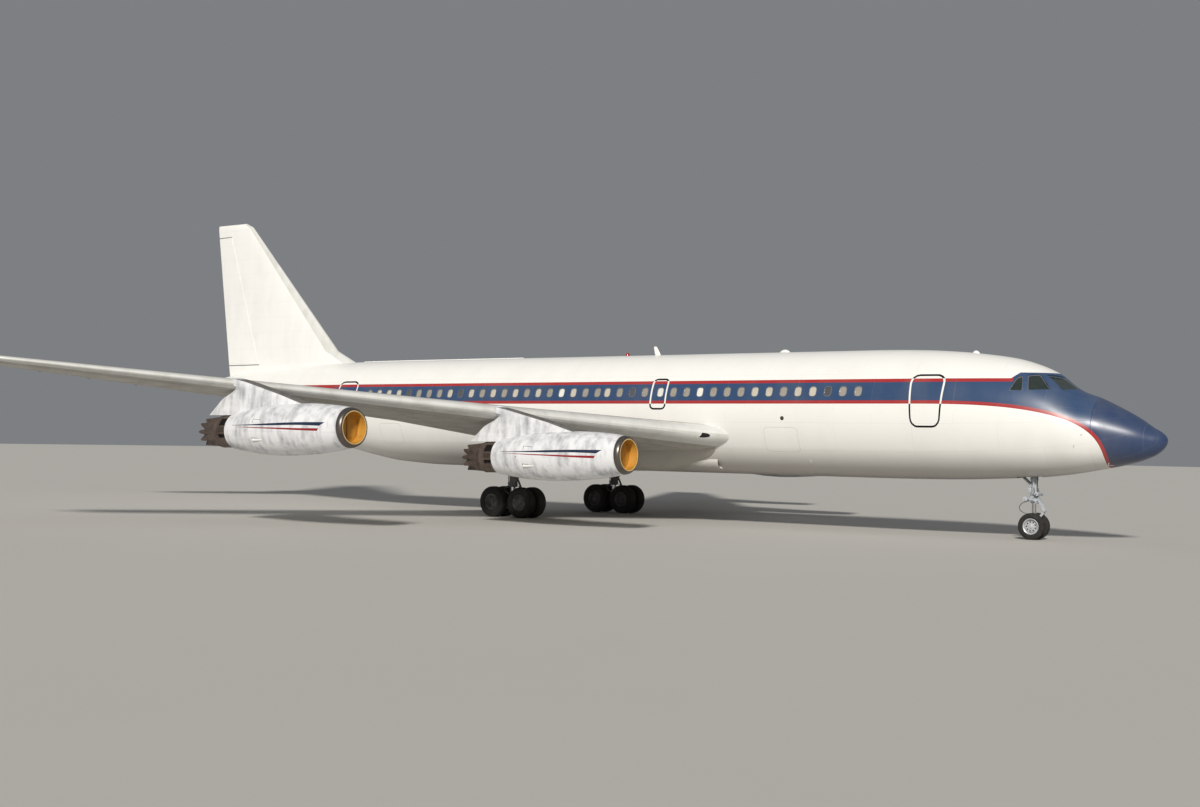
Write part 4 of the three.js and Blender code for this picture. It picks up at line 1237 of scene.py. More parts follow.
def cowlPoint(along, up, side, out=0.0):
    # a point of the cowl in its own frame, on one side at a height over the axis
    radius = cowlRadius(along)
    turn = math.asin(max(-1.0, min(1.0, up / radius)))
    return Vector((along, side * (radius + out) * math.cos(turn), (radius + out) * math.sin(turn)))


def makeCowl(tag, place):
    # the lip: a quarter round outside, and a short way back into the duct
    lipEnd, lipFront = nacelle["lipWidth"], nacelle["lipFront"]
    rise = cowlRadius(lipEnd) - lipFront
    lip = [(lipEnd * (1 - math.cos(math.radians(t))), lipFront + rise * math.sin(math.radians(t)))
           for t in range(0, 91, 9)]
    lip += [(lipEnd, cowlRadius(lipEnd) - 0.02), (0.05, 0.450), (0.012, 0.4505), (0.003, 0.452)]
    bm = newMesh()
    lathe(bm, lip, closed=True)
    setOnEngine("inlet_lip_" + tag, bm, place, [finish["lip"]], slot="white_paint")

    front = lipEnd + 0.004
    length = nacelle["length"]
    outer = [(front + (length - front) * i / 48, 0.0) for i in range(49)]
    for joint in nacelle["joints"]:
        outer += [(joint - 0.006, 0.0), (joint, 0.008), (joint + 0.006, 0.0)]
    outer = [(s, cowlRadius(s) - sunk) for s, sunk in sorted(outer)]
    inner = nacelle["duct"] + [(front, smoothRow(nacelle["inner"], front)[0])]
    bm = newMesh()
    lathe(bm, outer + inner, closed=True)
    setOnEngine("cowl_skin_" + tag, bm, place, [finish["cowl"]], slot="white_paint", nodes=("cowl_" + tag,))


def smoothed(rows):
    # an even run of rows through a few of them
    left, right = (pathPoints([(*row[edge], 0) for row in rows], nacelle["lineSteps"]) for edge in (0, 1))
    return [((a.x, a.y), (b.x, b.y)) for a, b in zip(left, right)]


def makeCowlLines(tag, place):
    def onSide(side):
        return lambda s, h, out: cowlPoint(s, h, side, out)

    for colour, rows in cowlLines.items():
        bm = newMesh()
        for side in (1, -1):
            ribbon(bm, smoothed(rows), onSide(side), (-0.004, 0.0016), 4)
        setOnEngine(f"cowl_{colour}_lines_{tag}", bm, place, [finish[colour]], slot="navy_paint")

    # black lines: panel edges and a latch, and the scoop's mouth as painted shade
    bm = newMesh()
    for side in (1, -1):
        for line, width in cowlDetails["edges"]:
            ribbon(bm, lineRows(line, width, 0.05), onSide(side), (-0.003, 0.0014), 1)
    setOnEngine("cowl_edges_and_painted_shade_" + tag, bm, place, [finish["black"]])

    bm = newMesh()
    for side in (1, -1):
        def scoopPoint(ring, angle, side=side):
            s, high = ring
            base = cowlPoint(s, cowlDetails["scoopUp"], side)
            outward = Vector((0, base.y, base.z)).normalized()
            along = Vector((0, -outward.z, outward.y))
            across = along * cowlDetails["scoopHalf"] * math.cos(angle) * (0.5 + high * 10)
            return base + across + outward * (high * max(math.sin(angle), -0.3))

        loft(bm, cowlDetails["scoop"], 20, scoopPoint)
        aft, up, long, tall = cowlDetails["oval"]
        turns = [math.radians(4 + 8.6 * k) for k in range(21)]
        oval = [tuple((aft + long * math.cos(turn), up + way * tall * math.sin(turn)) for way in (-1, 1))
                for turn in turns]
        ribbon(bm, oval, onSide(side), (-0.003, 0.004), 2)
    setOnEngine("cowl_scoops_" + tag, bm, place, [finish["white"]])


def makeCover(tag, place):
    # a tray: rolled rim just inside the lip, wall along the duct, flat disc with a stiffener and two handles
    depth = nacelle["coverDepth"]
    profile = [(depth, 0.0), (depth, 0.408), (depth - 0.01, 0.413), (0.02, 0.417), (0.004, 0.419), (0.0, 0.423),
               (-0.001, 0.434), (0.0, 0.444), (0.004, 0.4485), (0.02, 0.4485), (0.05, 0.4465), (depth, 0.4345),
               (depth + 0.03, 0.432), (depth + 0.03, 0.0)]
    bm = newMesh()
    lathe(bm, profile)
    for face in bm.faces:  # the rim is paler, a painted highlight where the light catches its edge
        middle = face.calc_center_median()
        face.material_index = 1 if middle.x < 0.03 and math.hypot(middle.y, middle.z) > 0.418 else 0
    block(bm, (depth - 0.022, -0.03, -0.37), (depth + 0.002, 0.03, 0.37), edge=0.006)
    for z in (-0.2, 0.2):
        hose(bm, [(depth, -0.09, z), (depth - 0.05, -0.075, z), (depth - 0.06, 0, z), (depth - 0.05, 0.075, z),
                  (depth, 0.09, z)], 0.008)
    setOnEngine("inlet_cover_skin_" + tag, bm, place, [finish["yellow"], finish["yellowLitRim"]], slot="cover_yellow",
                nodes=("inlet_cover_" + tag,))


exhaust = {
    "ringStart": 4.42, "windowEnd": 4.82, "ringEnd": 5.05, "tip": 5.68,
    "solid": ((52, 128), (13, 20), (-11, -4), (-155, -25), (160, 167), (184, 191)),  # degrees up from level
    "cascades": ((-4, 13), (167, 184)),
    "shadeBlack": ((20, 52), (-25, -11), (128, 160), (191, 205)),
    "vanes": 6,
    "lobes": 10,
}


def arcBand(bm, along, radii, turnRange, steps):
    # a curved bar of four-sided section over part of a turn, its ends closed
    def pointAt(turn, angle):
        k = round(angle / math.tau * 4) % 4
        s, r = along[k in (1, 2)], radii[k in (2, 3)]
        return Vector((s, r * math.cos(turn), r * math.sin(turn)))

    turns = [math.radians(turnRange[0] + (turnRange[1] - turnRange[0]) * i / steps) for i in range(steps + 1)]
    loft(bm, turns, 4, pointAt)


def makeExhaust(tag, place):
    start, end, tip = exhaust["ringStart"], exhaust["ringEnd"], exhaust["tip"]
    windowEnd = exhaust["windowEnd"]
    bm = newMesh()
    lathe(bm, [(windowEnd, 0.425), (windowEnd, 0.451), (end - 0.06, 0.447), (end - 0.05, 0.451), (end - 0.02, 0.450),
               (end, 0.438), (end, 0.42)], closed=True)
    for low, high in exhaust["solid"]:
        arcBand(bm, (start, windowEnd + 0.01), (0.41, 0.453), (low, high), max(2, (high - low) // 5))
    # turning vanes stand in the middle windows; the others hold black bands, painted shade
    step = (windowEnd - start - 0.14) / (exhaust["vanes"] - 1)
    for k in range(exhaust["vanes"]):
        s = start + 0.11 + step * k
        for low, high in exhaust["cascades"]:
            arcBand(bm, (s, s + 0.026), (0.405, 0.445), (low, high), 5)
    setOnEngine("exhaust_ring_" + tag, bm, place, [finish["hot"]], slot="exhaust_steel")

    bm = newMesh()
    lathe(bm, [(start - 0.4, 0.0), (start - 0.4, 0.395), (end - 0.02, 0.395), (end - 0.02, 0.0)])
    for k in range(exhaust["vanes"]):
        for low, high in exhaust["shadeBlack"]:
            arcBand(bm, (start + 0.11 + step * k, start + 0.122 + step * k), (0.390, 0.430), (low, high), 6)
    setOnEngine("exhaust_drum_" + tag, bm, place, [finish["shadeBlack"]], slot="exhaust_steel", nodes=("engine_" + tag,))

    # nozzle: a skin that folds into lobes, deeper towards the tip, with a notched edge
    lobes = exhaust["lobes"]

    def nozzlePoint(ring, angle):
        share, thin = ring
        fold = math.cos(lobes * angle)
        radius = 0.432 - 0.092 * share - thin
        depth = 0.052 * share ** 1.3
        s = end - 0.01 + (tip - end + 0.01) * share - 0.075 * share ** 3 * (0.5 - 0.5 * fold)
        r = radius + depth * (fold if fold > 0 else 1.5 * fold)
        return Vector((s, r * math.cos(angle), r * math.sin(angle)))

    rings = [(0, 0.0), (0.15, 0), (0.35, 0), (0.55, 0), (0.75, 0), (0.9, 0), (1, 0), (1, 0.008), (0.85, 0.008),
             (0.6, 0.008), (0.3, 0.008), (0.1, 0.008)]
    bm = newMesh()
    loft(bm, rings, 160, nozzlePoint)
    setOnEngine("exhaust_nozzle_" + tag, bm, place, [finish["hot"]], slot="exhaust_steel", sharp=45)


pylon = {
    "halfWidth": 0.172, "noseRun": 0.7, "taperFrom": 0.84, "tailHalf": 0.03, "roundTop": 0.07,
    # height marks, front and rear: from, aft, up
    "front": [("inlet", 2.0, 0.30), ("inlet", 1.9, 0.48), ("inlet", 1.24, 0.52), ("inlet", 2.49, 0.88),
              ("wing", -0.56, 0.03), ("wing", 0.06, 0.16)],
    "rear": [("rear", 1.18, 0.30), ("rear", 1.07, 0.40), ("rear", 0.70, 0.714), ("rear", 0.589, 0.783),
             ("rear", 0.29, 0.92), ("rear", 0.13, 1.01), ("rear", 0.12, 1.09), ("wing", 0.9, 0.06),
             ("wing", 0.9, 0.16)],
    "strip": (0.58, 1.30, 0.30),  # metal strip on the front edge: from, to, reach back
}


def makePylon(name, side):
    y, inletX, inletZ = nacelle[name]
    marks = {"inlet": (inletX, inletZ), "rear": (inletX - nacelle["length"], inletZ),
             "wing": (measured(wingStations, y, lambda row: row[1]), measured(wingStations, y, lambda row: row[3]))}
    front, rear = ([(marks[start][1] + up, marks[start][0] - aft) for start, aft, up in pylon[edge]]
                   for edge in ("front", "rear"))
    low, high = inletZ + 0.30, front[-1][0]
    even = {low + (high - low) * i / 30 for i in range(30)}
    heights = sorted(even | {z for z, _ in front + rear if low < z < high})
    heights += [high - 0.03 * (1 - k / 4) ** 2 for k in range(1, 5)]
    heights = sorted(heights)

    def pointAt(z, angle):
        ahead, behind = straightRow(front, z)[0], straightRow(rear, max(z, rear[0][0]))[0]
        over = max(0.0, (z - high + pylon["roundTop"]) / pylon["roundTop"])
        narrow = math.sqrt(max(0.02, 1 - over ** 2))
        share = (1 - math.cos(angle)) / 2
        length = ahead - behind
        run = min(share * length / pylon["noseRun"], 1.0)
        wide = pylon["halfWidth"] * math.sqrt(1 - (1 - run) ** 2)
        late = max(0.0, (share - pylon["taperFrom"]) / (1 - pylon["taperFrom"]))
        wide += (pylon["tailHalf"] - pylon["halfWidth"]) * late ** 1.2
        face = 0 if share < 1e-9 or share > 1 - 1e-9 else math.copysign(1, math.sin(angle))
        return Vector((ahead - share * length, side * y + face * wide * narrow, z))

    bm = newMesh()
    loft(bm, heights, 48, pointAt)
    tag = f"{name}_{'port' if side > 0 else 'starboard'}"
    dress(asObject("pylon_skin_" + tag, bm), [finish["cowl"]], slot="white_paint", nodes=("pylon_" + tag,), sharp=30)

    # a metal strip wraps the front edge; v is the square root of the way back
    foot, head, reach = pylon["strip"]
    limit = math.sqrt(reach)

    def stripPoint(z, v, out):
        run = (v * v) / pylon["noseRun"]
        wide = math.copysign(pylon["halfWidth"] * math.sqrt(1 - (1 - run) ** 2), v)
        lean = v / limit
        ahead = straightRow(front, z)[0]
        return Vector((ahead - v * v + out * (1 - 0.6 * abs(lean)), side * (y + wide + out * lean), z))

    bm = newMesh()
    heights = [inletZ + foot + (head - foot) * k / 30 for k in range(31)]
    ribbon(bm, [((z, -limit), (z, limit)) for z in heights], stripPoint, (-0.004, 0.010), 12)
    dress(asObject("pylon_strip_" + tag, bm), [finish["strip"]])


for engineName in ("inboard", "outboard"):
    for side, sideName in ((1, "port"), (-1, "starboard")):
        enginePlace, engineTag = nacellePlace(engineName, side), f"{engineName}_{sideName}"
        makeCowl(engineTag, enginePlace)
        makeCowlLines(engineTag, enginePlace)
        makeCover(engineTag, enginePlace)
        makeExhaust(engineTag, enginePlace)
        makePylon(engineName, side)
print("engines made")

# landing gear: tyres and hubs turn on their axles, the rest is fixed but for the nose gear's steered lower half
mainWheel = {
    "radius": 0.495, "half": 0.165, "bead": 0.258, "pair": 0.275, "shaft": 0.055,
    "grooves": (-0.078, -0.028, 0.028, 0.078), "holes": 10, "holeRing": 0.150, "holeRadius": 0.022,
    "disc": [(0.098, 0.0), (0.098, 0.052), (0.088, 0.064), (0.060, 0.070), (0.048, 0.105), (0.030, 0.190),
             (0.052, 0.212), (0.112, 0.224), (0.134, 0.236), (0.141, 0.250), (0.134, 0.259), (0.120, 0.2565)],
    "look": "alloyDustyAndShaded",
}
noseWheel = {
    "radius": 0.370, "half": 0.100, "bead": 0.222, "pair": 0.200, "shaft": 0.038,
    "grooves": (-0.042, -0.014, 0.014, 0.042), "holes": 9, "holeRing": 0.125, "holeRadius": 0.023,
    "disc": [(0.078, 0.0), (0.078, 0.034), (0.069, 0.046), (0.058, 0.056), (0.052, 0.098), (0.046, 0.150),
             (0.010, 0.158), (0.006, 0.176), (0.050, 0.184), (0.078, 0.196), (0.086, 0.212), (0.082, 0.223),
             (0.068, 0.221)],
    "look": "alloy",
}
axis = {"y": (0, 1, 0), "up": (0, 0, 1)}


def makeTyre(spec):
    # a round-shouldered section with straight grooves round the tread
    half, radius, bead = spec["half"], spec["radius"], spec["bead"]
    deep = radius - bead
    side = [(-0.76, 0.0), (-0.90, 0.03), (-0.985, 0.16), (-1.0, 0.38), (-0.985, 0.56), (-0.93, 0.74), (-0.84, 0.87),
            (-0.72, 0.945), (-0.60, 0.975)]
    left = [(a * half, bead + b * deep) for a, b in side]
    tread = []
    for g in spec["grooves"]:
        crown = radius - 0.004 * (g / half) ** 2
        tread += [(g - 0.007, crown), (g - 0.005, crown - 0.009), (g + 0.005, crown - 0.009), (g + 0.007, crown)]
    profile = left + tread + [(-a, r) for a, r in reversed(left)]
    bm = newMesh()
    turned(bm, profile, (0, 0, 0), axis["y"], axis["up"], 72, closed=True)
    return asObject("tyre", bm)


def makeHub(spec):
    # a cast wheel half: dished disc with lightening holes, rim barrel, bolts round the cap
    disc = spec["disc"]
    back = [(-spec["half"] * 0.74, spec["bead"] - 0.004), (-spec["half"] * 0.80, spec["bead"] - 0.014),
            (-spec["half"] * 0.70, disc[7][1] - 0.004), (disc[5][0] - 0.03, disc[5][1] - 0.002),
            (disc[4][0] - 0.03, disc[4][1]), (-0.03, spec["shaft"] + 0.02), (-0.03, 0.0)]
    bm = newMesh()
    turned(bm, disc + back, (0, 0, 0), axis["y"], axis["up"], 72)
    hub = asObject("hub", bm)
    holes = newMesh()
    for i in range(spec["holes"]):
        turn = math.tau * i / spec["holes"]
        x, z = spec["holeRing"] * math.cos(turn), spec["holeRing"] * math.sin(turn)
        rod(holes, (x, -0.1, z), (x, 0.2, z), spec["holeRadius"], sides=20)
    carve(hub, asObject("holes", holes))
    bolts = newMesh()
    for i in range(8):
        turn = math.tau * (i + 0.5) / 8
        x, z = (disc[4][1] - 0.012) * math.cos(turn), (disc[4][1] - 0.012) * math.sin(turn)
        rod(bolts, (x, disc[4][0] - 0.01, z), (x, disc[4][0] + 0.012, z), 0.007, sides=6)
    return hub, asObject("bolts", bolts)


def placed(item, matrix):
    copy = item.data.copy()
    copy.transform(matrix)
    return copy


def makeWheelSet(spec, parts, centre, tag, body):
    tyre, hub, bolts = parts
    turnRound = Matrix.Rotation(math.pi, 4, "Z")
    both = newMesh()
    for side, sideName in ((1, "port"), (-1, "starboard")):
        place = Matrix.Translation(centre + Vector((0, side * spec["pair"], 0)))
        if side < 0:
            place = place @ turnRound
        both.from_mesh(placed(hub, place))
        both.from_mesh(placed(bolts, place))
        piece = bpy.data.objects.new(f"tyre_skin_{tag}_{sideName}", placed(tyre, place))
        bpy.context.scene.collection.objects.link(piece)
        dress(piece, [finish["rubber"]], body=body, slot="tyre_rubber", nodes=(f"tyre_{tag}_{sideName}",), sharp=35)
    reach = Vector((0, spec["pair"], 0))
    rod(both, centre - reach, centre + reach, spec["shaft"], sides=32)
    dress(asObject("wheel_hubs_" + tag, both), [finish[spec["look"]]], body=body, slot="wheel_metal",
          nodes=("wheels_" + tag,), sharp=35)


def drop(*items):
    for item in items:
        bpy.data.objects.remove(item)


mainGear = {"x": -0.05, "y": 2.875, "base": 1.14, "axle": 0.495, "topZ": 2.9, "beamZ": 0.5, "beamSquare": 0.6}


def link(bm, outline, half, y):
    # a flat arm, outline in x and z
    face = bm.faces.new([bm.verts.new((x, y - half, z)) for x, z in outline])
    grown = bmesh.ops.extrude_face_region(bm, geom=[face])["geom"]
    verts = [g for g in grown if isinstance(g, bmesh.types.BMVert)]
    bmesh.ops.translate(bm, verts=verts, vec=(0, 2 * half, 0))
    edges = list({edge for vert in verts for edge in vert.link_edges})
    bmesh.ops.bevel(bm, geom=edges, offset=0.006, affect="EDGES", segments=2, profile=0.5, material=-1)


def makeMainGear(side, sideName):
    gear = mainGear
    x, y = gear["x"], side * gear["y"]
    axle, half = gear["axle"], gear["base"] / 2

    # bogie: a forged beam, waisted between the bosses of the axles and of the leg's pivot
    bm = newMesh()
    beam = [(-0.70, 0.055, 0.06), (-0.68, 0.085, 0.09), (-0.50, 0.092, 0.105), (-0.34, 0.078, 0.088),
            (-0.16, 0.088, 0.105), (0.0, 0.093, 0.112), (0.16, 0.088, 0.105), (0.34, 0.078, 0.088),
            (0.50, 0.092, 0.105), (0.68, 0.085, 0.09), (0.70, 0.055, 0.06)]

    def beamPoint(ring, angle):
        along, wide, tall = ring
        across, up = (math.copysign(abs(turn) ** gear["beamSquare"], turn)
                      for turn in (math.cos(angle), math.sin(angle)))
        return Vector((x + along, y + wide * across, gear["beamZ"] + tall * up))

    loft(bm, beam, 28, beamPoint)
    for place in (-half, half):
        rod(bm, (x + place, y - 0.125, axle), (x + place, y + 0.125, axle), 0.098, sides=32)
        for way in (1, -1):  # brake stacks stand in the wheels
            for k in range(5):
                start = y + way * (0.128 + 0.022 * k)
                radius = 0.185 - 0.008 * (k % 2)
                rod(bm, (x + place, start, axle), (x + place, start + way * 0.016, axle), radius, sides=36)
            rod(bm, (x + place, y + way * 0.12, axle), (x + place, y + way * 0.235, axle), 0.15, sides=32)
    rod(bm, (x, y - 0.13, 0.53), (x, y + 0.13, 0.53), 0.105, sides=32)
    for way in (1, -1):  # brake links under the beam
        rod(bm, (x - half, y + way * 0.115, 0.30), (x + half, y + way * 0.115, 0.30), 0.016)
        for place in (-half, half):
            rod(bm, (x + place, y + way * 0.115, 0.30), (x + place, y + way * 0.115, 0.42), 0.026, 0.034)
    dress(asObject("bogie_skin_" + sideName, bm), [finish["gear"]], slot="gear_grey", nodes=("bogie_" + sideName,))

    bm = newMesh()
    turned(bm, [(0.60, 0.0), (0.60, 0.083), (1.0, 0.083), (1.0, 0.0)], (x, y, 0), axis["up"], axis["y"], 40)
    dress(asObject("main_piston_" + sideName, bm), [finish["chrome"]], slot="gear_grey")

    bm = newMesh()
    outer = [(0.98, 0.0), (0.98, 0.118), (1.0, 0.142), (1.07, 0.150), (1.10, 0.146), (1.12, 0.132), (1.42, 0.130),
             (1.44, 0.146), (1.50, 0.148), (1.52, 0.134), (2.3, 0.138), (2.33, 0.150), (2.42, 0.150), (2.44, 0.14),
             (gear["topZ"] - 0.02, 0.14), (gear["topZ"] - 0.02, 0.0)]
    turned(bm, outer, (x, y, 0), axis["up"], axis["y"], 44)
    # fork that takes the beam, and its collar on the piston
    turned(bm, [(0.63, 0.0), (0.63, 0.10), (0.66, 0.112), (0.74, 0.112), (0.77, 0.098), (0.77, 0.0)], (x, y, 0),
           axis["up"], axis["y"], 36)
    for way in (1, -1):
        link(bm, [(x - 0.09, 0.48), (x + 0.09, 0.48), (x + 0.10, 0.56), (x + 0.07, 0.70), (x - 0.07, 0.70),
                  (x - 0.10, 0.56)], 0.014, y + way * 0.112)
    # torque links behind, and the trimming jack ahead
    link(bm, [(x - 0.12, 1.06), (x - 0.12, 1.0), (x - 0.36, 0.865), (x - 0.38, 0.895), (x - 0.36, 0.915)], 0.05, y)
    link(bm, [(x - 0.10, 0.67), (x - 0.10, 0.73), (x - 0.36, 0.90), (x - 0.385, 0.875), (x - 0.36, 0.85)], 0.04, y)
    rod(bm, (x - 0.37, y - 0.06, 0.88), (x - 0.37, y + 0.06, 0.88), 0.020)
    rod(bm, (x + 0.12, y + 0.05, 1.28), (x + 0.46, y + 0.05, 0.62), 0.034)
    rod(bm, (x + 0.30, y + 0.05, 0.93), (x + 0.50, y + 0.05, 0.545), 0.020)
    # side brace in two arms with a knuckle, drag brace, each ending in the structure above
    inboard = -side
    foot, head = Vector((x, y + inboard * 0.10, 1.27)), Vector((x + 0.03, y + inboard * 1.1, 2.5))
    knee = foot.lerp(head, 0.52)
    for offset in (-0.05, 0.05):
        shift = Vector((offset, 0, 0))
        rod(bm, foot + shift, knee + shift, 0.030, 0.038)
        rod(bm, knee + shift, head + shift, 0.038, 0.034)
    rod(bm, knee - Vector((0.085, 0, 0)), knee + Vector((0.085, 0, 0)), 0.052, sides=24)
    rod(bm, foot - Vector((0.085, 0, 0)), foot + Vector((0.085, 0, 0)), 0.050, sides=24)
    foot, head = Vector((x + 0.11, y, 1.19)), Vector((x + 1.15, y, 2.7))
    rod(bm, foot, head, 0.045, 0.052, 24)
    rod(bm, foot - Vector((0, 0.075, 0)), foot + Vector((0, 0.075, 0)), 0.055, sides=24)
    middle = foot.lerp(head, 0.45)
    way = (head - foot).normalized()
    rod(bm, middle - way * 0.05, middle + way * 0.05, 0.066, sides=24)
    # actuator beside the leg
    rod(bm, (x - 0.12, y + inboard * 0.16, 1.46), (x - 0.10, y + inboard * 0.42, 2.42), 0.046, sides=24)
    rod(bm, (x - 0.125, y + inboard * 0.12, 1.30), (x - 0.12, y + inboard * 0.17, 1.50), 0.026)
    for z in (1.09, 1.47, 2.38):
        block(bm, (x - 0.19, y - 0.05, z - 0.035), (x - 0.11, y + 0.05, z + 0.035), 0.008)
    dress(asObject("main_leg_skin_" + sideName, bm), [finish["gear"]], slot="gear_grey",
          nodes=("main_leg_" + sideName,))

    # brake hoses from the leg down to each axle
    bm = newMesh()
    for place in (-half, half):
        for way in (1, -1):
            lead = 0.6 if place > 0 else -0.6
            hose(bm, [(x - 0.02 + lead * 0.2, y + way * 0.125, 1.02), (x + lead * 0.45, y + way * 0.155, 0.86),
                      (x + lead * 0.75, y + way * 0.125, 0.66), (x + place * 0.98, y + way * 0.118, 0.60)], 0.011)
    for way, z in ((1, 1.8), (-1, 1.75)):
        hose(bm, [(x - 0.13, y + way * 0.07, 2.3), (x - 0.15, y + way * 0.08, z), (x - 0.145, y + way * 0.075, 1.3),
                  (x - 0.12, y + way * 0.08, 1.02)], 0.012)
    dress(asObject("main_gear_hoses_" + sideName, bm), [finish["hoseRubber"]])


noseGear = {"x": 16.14, "axle": 0.37}


def makeNoseGear():
    x, axle = noseGear["x"], noseGear["axle"]
    # fixed leg with its steering cylinders, brace and pipes
    bm = newMesh()
    turned(bm, [(1.0, 0.0), (1.0, 0.092), (1.05, 0.098), (1.23, 0.098), (1.25, 0.112), (1.31, 0.112), (1.33, 0.098),
                (1.62, 0.096), (1.64, 0.110), (1.72, 0.110), (1.74, 0.098), (2.34, 0.098), (2.34, 0.0)],
           (x, 0, 0), axis["up"], axis["y"], 44)
    foot, head = Vector((x - 0.06, 0, 1.50)), Vector((15.74, 0, 1.80))
    for y in (-0.055, 0.055):
        rod(bm, foot + Vector((0, y, 0)), head + Vector((0, y, 0)), 0.028)
    rod(bm, foot - Vector((0, 0.085, 0)), foot + Vector((0, 0.085, 0)), 0.044, sides=24)
    for way in (1, -1):
        rod(bm, (x + 0.02, way * 0.125, 1.22), (x + 0.02, way * 0.125, 2.30), 0.026, sides=20)
        rod(bm, (x + 0.02, way * 0.125, 1.27), (x + 0.02, way * 0.125, 1.52), 0.040, sides=24)
        block(bm, (x - 0.02, way * 0.09 - 0.03, 1.33), (x + 0.05, way * 0.09 + 0.03, 1.40), 0.006)
    # steering cylinders lie across ahead of the leg
    z = 1.275
    rod(bm, (x + 0.14, -0.24, z), (x + 0.14, 0.22, z), 0.050, sides=28)
    for way in (1, -1):
        rod(bm, (x + 0.14, way * 0.20, z), (x + 0.14, way * 0.245, z), 0.058, sides=28)
        rod(bm, (x + 0.14, way * 0.24, z), (x + 0.14, way * 0.36, z), 0.016)
    block(bm, (x + 0.06, -0.07, z - 0.05), (x + 0.16, 0.07, z + 0.05), 0.01)
    block(bm, (x - 0.16, -0.09, 1.30), (x - 0.06, 0.09, 1.44), 0.012)
    rod(bm, (x - 0.02, -0.14, 2.05), (x - 0.02, 0.14, 2.05), 0.05, sides=24)
    dress(asObject("nose_leg_skin", bm), [finish["gearPale"]], slot="gear_grey", nodes=("nose_leg",))

    # steered half: collar, torque links, piston with its fork and axle block
    bm = newMesh()
    turned(bm, [(1.06, 0.104), (1.06, 0.150), (1.075, 0.162), (1.12, 0.165), (1.15, 0.160), (1.20, 0.150),
                (1.21, 0.140), (1.21, 0.104)], (x, 0, 0), axis["up"], axis["y"], 44, closed=True)
    upper = [(x + 0.13, 1.175), (x + 0.13, 1.08), (x + 0.285, 0.775), (x + 0.33, 0.775), (x + 0.325, 0.83)]
    lower = [(x + 0.07, 0.44), (x + 0.07, 0.54), (x + 0.285, 0.83), (x + 0.33, 0.82), (x + 0.325, 0.775)]
    for y in (-0.052, 0.052):
        link(bm, upper, 0.014, y)
        link(bm, lower, 0.014, y * 0.62)
    rod(bm, (x + 0.305, -0.075, 0.803), (x + 0.305, 0.075, 0.803), 0.022, sides=20)
    rod(bm, (x + 0.235, -0.06, 0.93), (x + 0.235, 0.06, 0.93), 0.016)
    rod(bm, (x + 0.19, -0.045, 0.66), (x + 0.19, 0.045, 0.66), 0.016)
    block(bm, (x - 0.10, -0.185, 1.085), (x + 0.06, 0.185, 1.135), 0.012)
    for way in (1, -1):
        rod(bm, (x + 0.05, way * 0.165, 1.07), (x + 0.05, way * 0.165, 1.17), 0.026, sides=20)
        # cylinders behind the collar, their ends outward, and a rod across ahead of the piston
        rod(bm, (x - 0.17, way * 0.02, 1.125), (x - 0.17, way * 0.25, 1.125), 0.058, sides=28)
        rod(bm, (x - 0.17, way * 0.235, 1.125), (x - 0.17, way * 0.27, 1.125), 0.066, sides=28)
        rod(bm, (x - 0.17, way * 0.265, 1.125), (x - 0.17, way * 0.285, 1.125), 0.030, sides=20)
        rod(bm, (x + 0.128, 0, 1.02), (x + 0.128, way * 0.33, 1.02), 0.017)
        rod(bm, (x + 0.128, way * 0.14, 1.02), (x + 0.04, way * 0.15, 1.09), 0.014)
    block(bm, (x - 0.20, -0.11, 1.07), (x - 0.11, 0.11, 1.18), 0.014)
    turned(bm, [(axle - 0.075, 0.0), (axle - 0.075, 0.062), (axle - 0.05, 0.078), (axle + 0.06, 0.080),
                (axle + 0.12, 0.072), (axle + 0.14, 0.0)], (x, 0, 0), axis["up"], axis["y"], 36)
    rod(bm, (x, -0.09, axle), (x, 0.09, axle), 0.062, sides=32)
    for way in (1, -1):  # towing lugs
        rod(bm, (x + 0.06, way * 0.03, axle), (x + 0.135, way * 0.03, axle - 0.005), 0.018)
        rod(bm, (x + 0.135, way * 0.005, axle - 0.005), (x + 0.135, way * 0.045, axle - 0.005), 0.026, sides=20)
    dress(asObject("nose_strut_skin", bm), [finish["gearPale"]], body="nose_strut", slot="gear_grey",
          nodes=("nose_strut",))
    bm = newMesh()
    turned(bm, [(axle + 0.10, 0.0), (axle + 0.10, 0.060), (0.998, 0.060), (0.998, 0.0)], (x, 0, 0), axis["up"],
           axis["y"], 40)
    dress(asObject("nose_piston", bm), [finish["chrome"]], body="nose_strut", slot="gear_grey")

    bm = newMesh()
    for way in (-1, 1):
        hose(bm, [(x + 0.03, way * 0.145, 1.46), (x + 0.06, way * 0.19, 1.36), (x + 0.05, way * 0.185, 1.25),
                  (x + 0.02, way * 0.15, 1.22)], 0.009)
    hose(bm, [(x + 0.09, -0.10, 2.2), (x + 0.12, -0.11, 1.8), (x + 0.115, -0.10, 1.4), (x + 0.12, -0.06, 1.31)],
         0.010)
    dress(asObject("nose_leg_hoses", bm), [finish["hoseRubber"]])
    bm = newMesh()
    hose(bm, [(x - 0.10, -0.17, 1.07), (x - 0.24, -0.22, 1.02), (x - 0.34, -0.22, 0.90), (x - 0.30, -0.19, 0.78),
              (x - 0.18, -0.13, 0.72), (x - 0.06, -0.07, 0.70)], 0.012)
    dress(asObject("nose_strut_hose", bm), [finish["gear"]], body="nose_strut")


